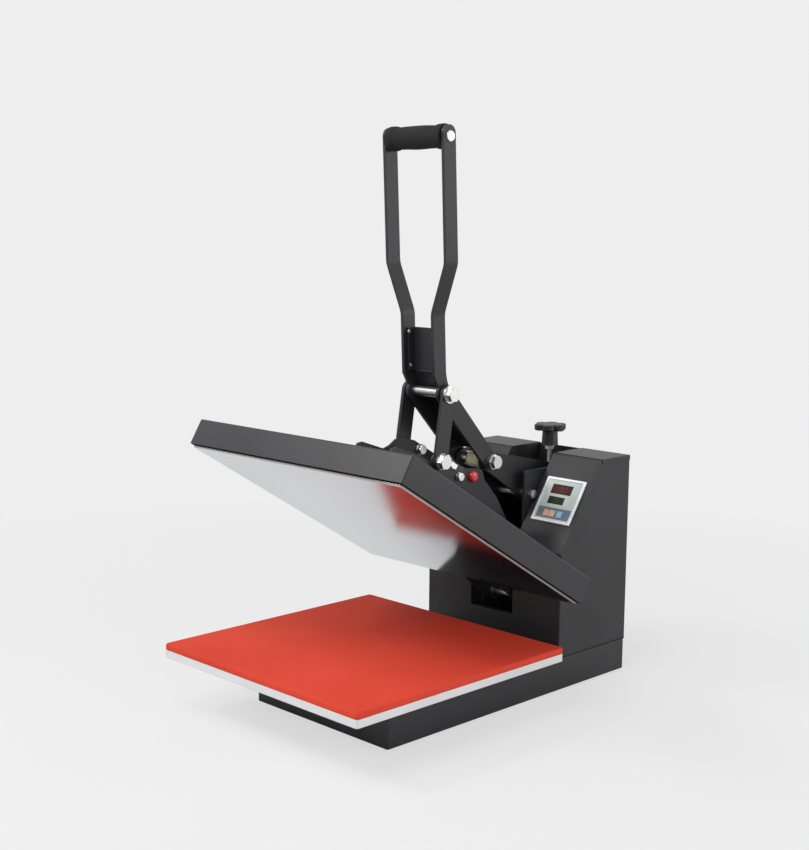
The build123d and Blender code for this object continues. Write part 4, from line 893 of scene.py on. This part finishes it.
def spring_path(x):
    """Middle line of one spring: end ring, coils, and a hook round the tail pin."""
    path = []
    low = spring_low.z + wire
    high = pin_low.z - coil_to_pin
    for step in range(int(coil_turns * turn_steps) + 1):
        angle = 2 * pi * step / turn_steps
        share = step / (coil_turns * turn_steps)
        rise = (share * coil_turns - closed_turns) / (coil_turns - 2 * closed_turns)
        rise = max(0.0, min(1.0, rise))
        path.append(Vector((x + coil_radius * cos(angle), spring_y + coil_radius * sin(angle),
                            low + (high - low) * rise)))
    hook = pin_radius + wire + hook_gap
    lead = path[-1]
    start = Vector((x, pin_y + hook, pin_z))
    for step in range(1, lead_steps):
        share = step / lead_steps
        bend = share * share * (3 - 2 * share)
        path.append(Vector((lead.x + (start.x - lead.x) * bend, lead.y + (start.y - lead.y) * share,
                            lead.z + (start.z - lead.z) * share)))
    for step in range(hook_steps + 1):
        angle = hook_angle * step / hook_steps
        path.append(Vector((x + hook_shift * step / hook_steps, pin_y + hook * cos(angle),
                            pin_z + hook * sin(angle))))
    return path


def wire_along(mesh, path, radius, sides=10):
    """Adds a round wire that follows a path of points, closed at both ends."""
    rows = []
    across = None
    for number, point in enumerate(path):
        before, after = path[max(0, number - 1)], path[min(len(path) - 1, number + 1)]
        along = (after - before).normalized()
        if across is None:
            across = along.orthogonal().normalized()
        across = (across - along * across.dot(along)).normalized()
        over = along.cross(across)
        rows.append([mesh.verts.new(point + across * radius * cos(2 * pi * k / sides)
                                    + over * radius * sin(2 * pi * k / sides))
                     for k in range(sides)])
    lay_faces(mesh, rows)


coils = bmesh.new()
for sign in (-1, 1):
    wire_along(coils, spring_path(sign * spring_x), wire)
bmesh.ops.recalc_face_normals(coils, faces=coils.faces)
wound_springs = piece_of("wound_springs", coils, bare_steel)
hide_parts("lift_springs")
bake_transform(wound_springs)


# Spring seats: two turned buttons of zinc-plated steel on the base. Each stands inside the
# lowest ring of a spring and keeps it in place.
seat_profile = [(0.0070, 0.0), (0.0070, 0.0012), (0.0060, 0.0018), (0.0042, 0.0020),
                (0.0040, 0.0042), (0.0032, 0.0050)]
seat_sink = 0.0002
seats = bmesh.new()
for sign in (-1, 1):
    seat = bmesh.new()
    turned(seat, seat_profile)
    add_copy(seats, seat, (sign * spring_x, spring_y, spring_low.z - seat_sink), (0, 0, 1))
spring_seats = piece_of("spring_seats", seats, bright_zinc)
even_shading(spring_seats)
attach(spring_seats, "root")


# Floor and backdrop: a plain pale studio floor that keeps the object's soft shadow. Where
# the camera looks at it far from the object, it fades to the even tone of the backdrop.
studio_white = (0.855, 0.855, 0.855, 1)
fade_start, fade_end = 0.35, 1.5
least_share, full_share = 0.72, 1.0
floor_drop = 0.0003


def studio_floor():
    material, tree, surface = blank("pale floor")
    clouds = grain(tree, 2.0, 2.0)
    tint(tree, clouds, (0.80, 0.80, 0.80), (0.83, 0.83, 0.83), surface.inputs["Base Color"])
    surface.inputs["Roughness"].default_value = 0.7
    plain = tree.nodes.new("ShaderNodeEmission")
    plain.inputs["Color"].default_value = studio_white
    seen = tree.nodes.new("ShaderNodeLightPath")
    place = tree.nodes.new("ShaderNodeTexCoord")
    reach = tree.nodes.new("ShaderNodeVectorMath")
    reach.operation = "LENGTH"
    tree.links.new(place.outputs["Object"], reach.inputs[0])
    share = tree.nodes.new("ShaderNodeMath")
    share.operation = "MULTIPLY"
    fade = spread(tree, reach.outputs["Value"], least_share, full_share, fade_start, fade_end)
    tree.links.new(fade, share.inputs[1])
    blend = tree.nodes.new("ShaderNodeMixShader")
    output = next(x for x in tree.nodes if x.type == "OUTPUT_MATERIAL")
    tree.links.new(seen.outputs["Is Camera Ray"], share.inputs[0])
    tree.links.new(share.outputs[0], blend.inputs["Fac"])
    tree.links.new(surface.outputs["BSDF"], blend.inputs[1])
    tree.links.new(plain.outputs["Emission"], blend.inputs[2])
    tree.links.new(blend.outputs["Shader"], output.inputs["Surface"])
    return material


floor_mesh = bmesh.new()
bmesh.ops.create_grid(floor_mesh, x_segments=8, y_segments=8, size=50.0)
floor = piece_of("studio_floor", floor_mesh, studio_floor(), False)
floor.location.z = -floor_drop


# World: an even pale studio all round. It lights the object softly, and looks white to the
# camera and to what metal and glass mirror or let through.
world = bpy.data.worlds.new("studio")
bpy.context.scene.world = world
world.use_nodes = True
sky = world.node_tree
sky.nodes.clear()
sky_out = sky.nodes.new("ShaderNodeOutputWorld")
sky_mix = sky.nodes.new("ShaderNodeMixShader")
sky_light = sky.nodes.new("ShaderNodeBackground")
sky_light.inputs["Color"].default_value = (1, 1, 1, 1)
sky_light.inputs["Strength"].default_value = 0.42
sky_seen = sky.nodes.new("ShaderNodeBackground")
sky_seen.inputs["Color"].default_value = studio_white
sky_rays = sky.nodes.new("ShaderNodeLightPath")
sky_glossy = sky.nodes.new("ShaderNodeMath")
sky_glossy.operation = "MAXIMUM"
sky_clear = sky.nodes.new("ShaderNodeMath")
sky_clear.operation = "MAXIMUM"
for source, target in ((sky_rays.outputs["Is Camera Ray"], sky_glossy.inputs[0]),
                       (sky_rays.outputs["Is Glossy Ray"], sky_glossy.inputs[1]),
                       (sky_glossy.outputs[0], sky_clear.inputs[0]),
                       (sky_rays.outputs["Is Transmission Ray"], sky_clear.inputs[1]),
                       (sky_clear.outputs[0], sky_mix.inputs["Fac"]),
                       (sky_light.outputs["Background"], sky_mix.inputs[1]),
                       (sky_seen.outputs["Background"], sky_mix.inputs[2]),
                       (sky_mix.outputs["Shader"], sky_out.inputs["Surface"])):
    sky.links.new(source, target)


# Lamps: a small soft key from the upper left in front, two broad fills from in front and
# above, and a low one behind on the right for the tower's side.
def soft_lamp(name, spot, aim, size, power):
    lamp = bpy.data.lights.new(name, "AREA")
    lamp.shape = "RECTANGLE"
    lamp.size, lamp.size_y = size
    lamp.energy = power
    piece = bpy.data.objects.new(name, lamp)
    piece.location = spot
    piece.rotation_euler = (Vector(aim) - Vector(spot)).to_track_quat("-Z", "Y").to_euler()
    bpy.context.scene.collection.objects.link(piece)


soft_lamp("key", (-1.10, -1.42, 1.86), aim=(0.05, -0.15, 0.4), size=(0.45, 0.45), power=18)
soft_lamp("front", (0.5, -2.2, 1.9), aim=(0, -0.2, 0.1), size=(1.2, 1.2), power=10)
soft_lamp("above", (0.1, -1.15, 2.6), aim=(0, -0.2, 0.1), size=(1.5, 1.2), power=24)
soft_lamp("side", (2.2, 1.3, 0.8), aim=(0, 0.1, 0.2), size=(1.2, 1.0), power=20)


# Camera: it stands at the photograph's place, in front on the right and a little above,
# with the photograph's angle, lens and picture height.
camera_spot = Vector((1.327052, -1.361845, 0.648397))
camera_yaw, camera_pitch, camera_roll = -0.787, 0.139, 0.010
focal_px, height_px, sensor_mm = 1397.9, 850, 36.0
forward = Vector((sin(camera_yaw) * cos(camera_pitch), cos(camera_yaw) * cos(camera_pitch),
                  -sin(camera_pitch)))
level = Vector((cos(camera_yaw), -sin(camera_yaw), 0))
above = level.cross(forward)
right = level * cos(camera_roll) + above * sin(camera_roll)
up = right.cross(forward)
lens = bpy.data.cameras.new("camera")
lens.sensor_fit = "VERTICAL"
lens.sensor_height = sensor_mm
lens.lens = sensor_mm * focal_px / height_px
lens.clip_end = 60.0
camera = bpy.data.objects.new("camera", lens)
camera.matrix_world = Matrix((
    (right.x, up.x, -forward.x, camera_spot.x),
    (right.y, up.y, -forward.y, camera_spot.y),
    (right.z, up.z, -forward.z, camera_spot.z),
    (0, 0, 0, 1),
))
bpy.context.scene.collection.objects.link(camera)
bpy.context.scene.camera = camera
bpy.context.scene.view_settings.view_transform = "Standard"
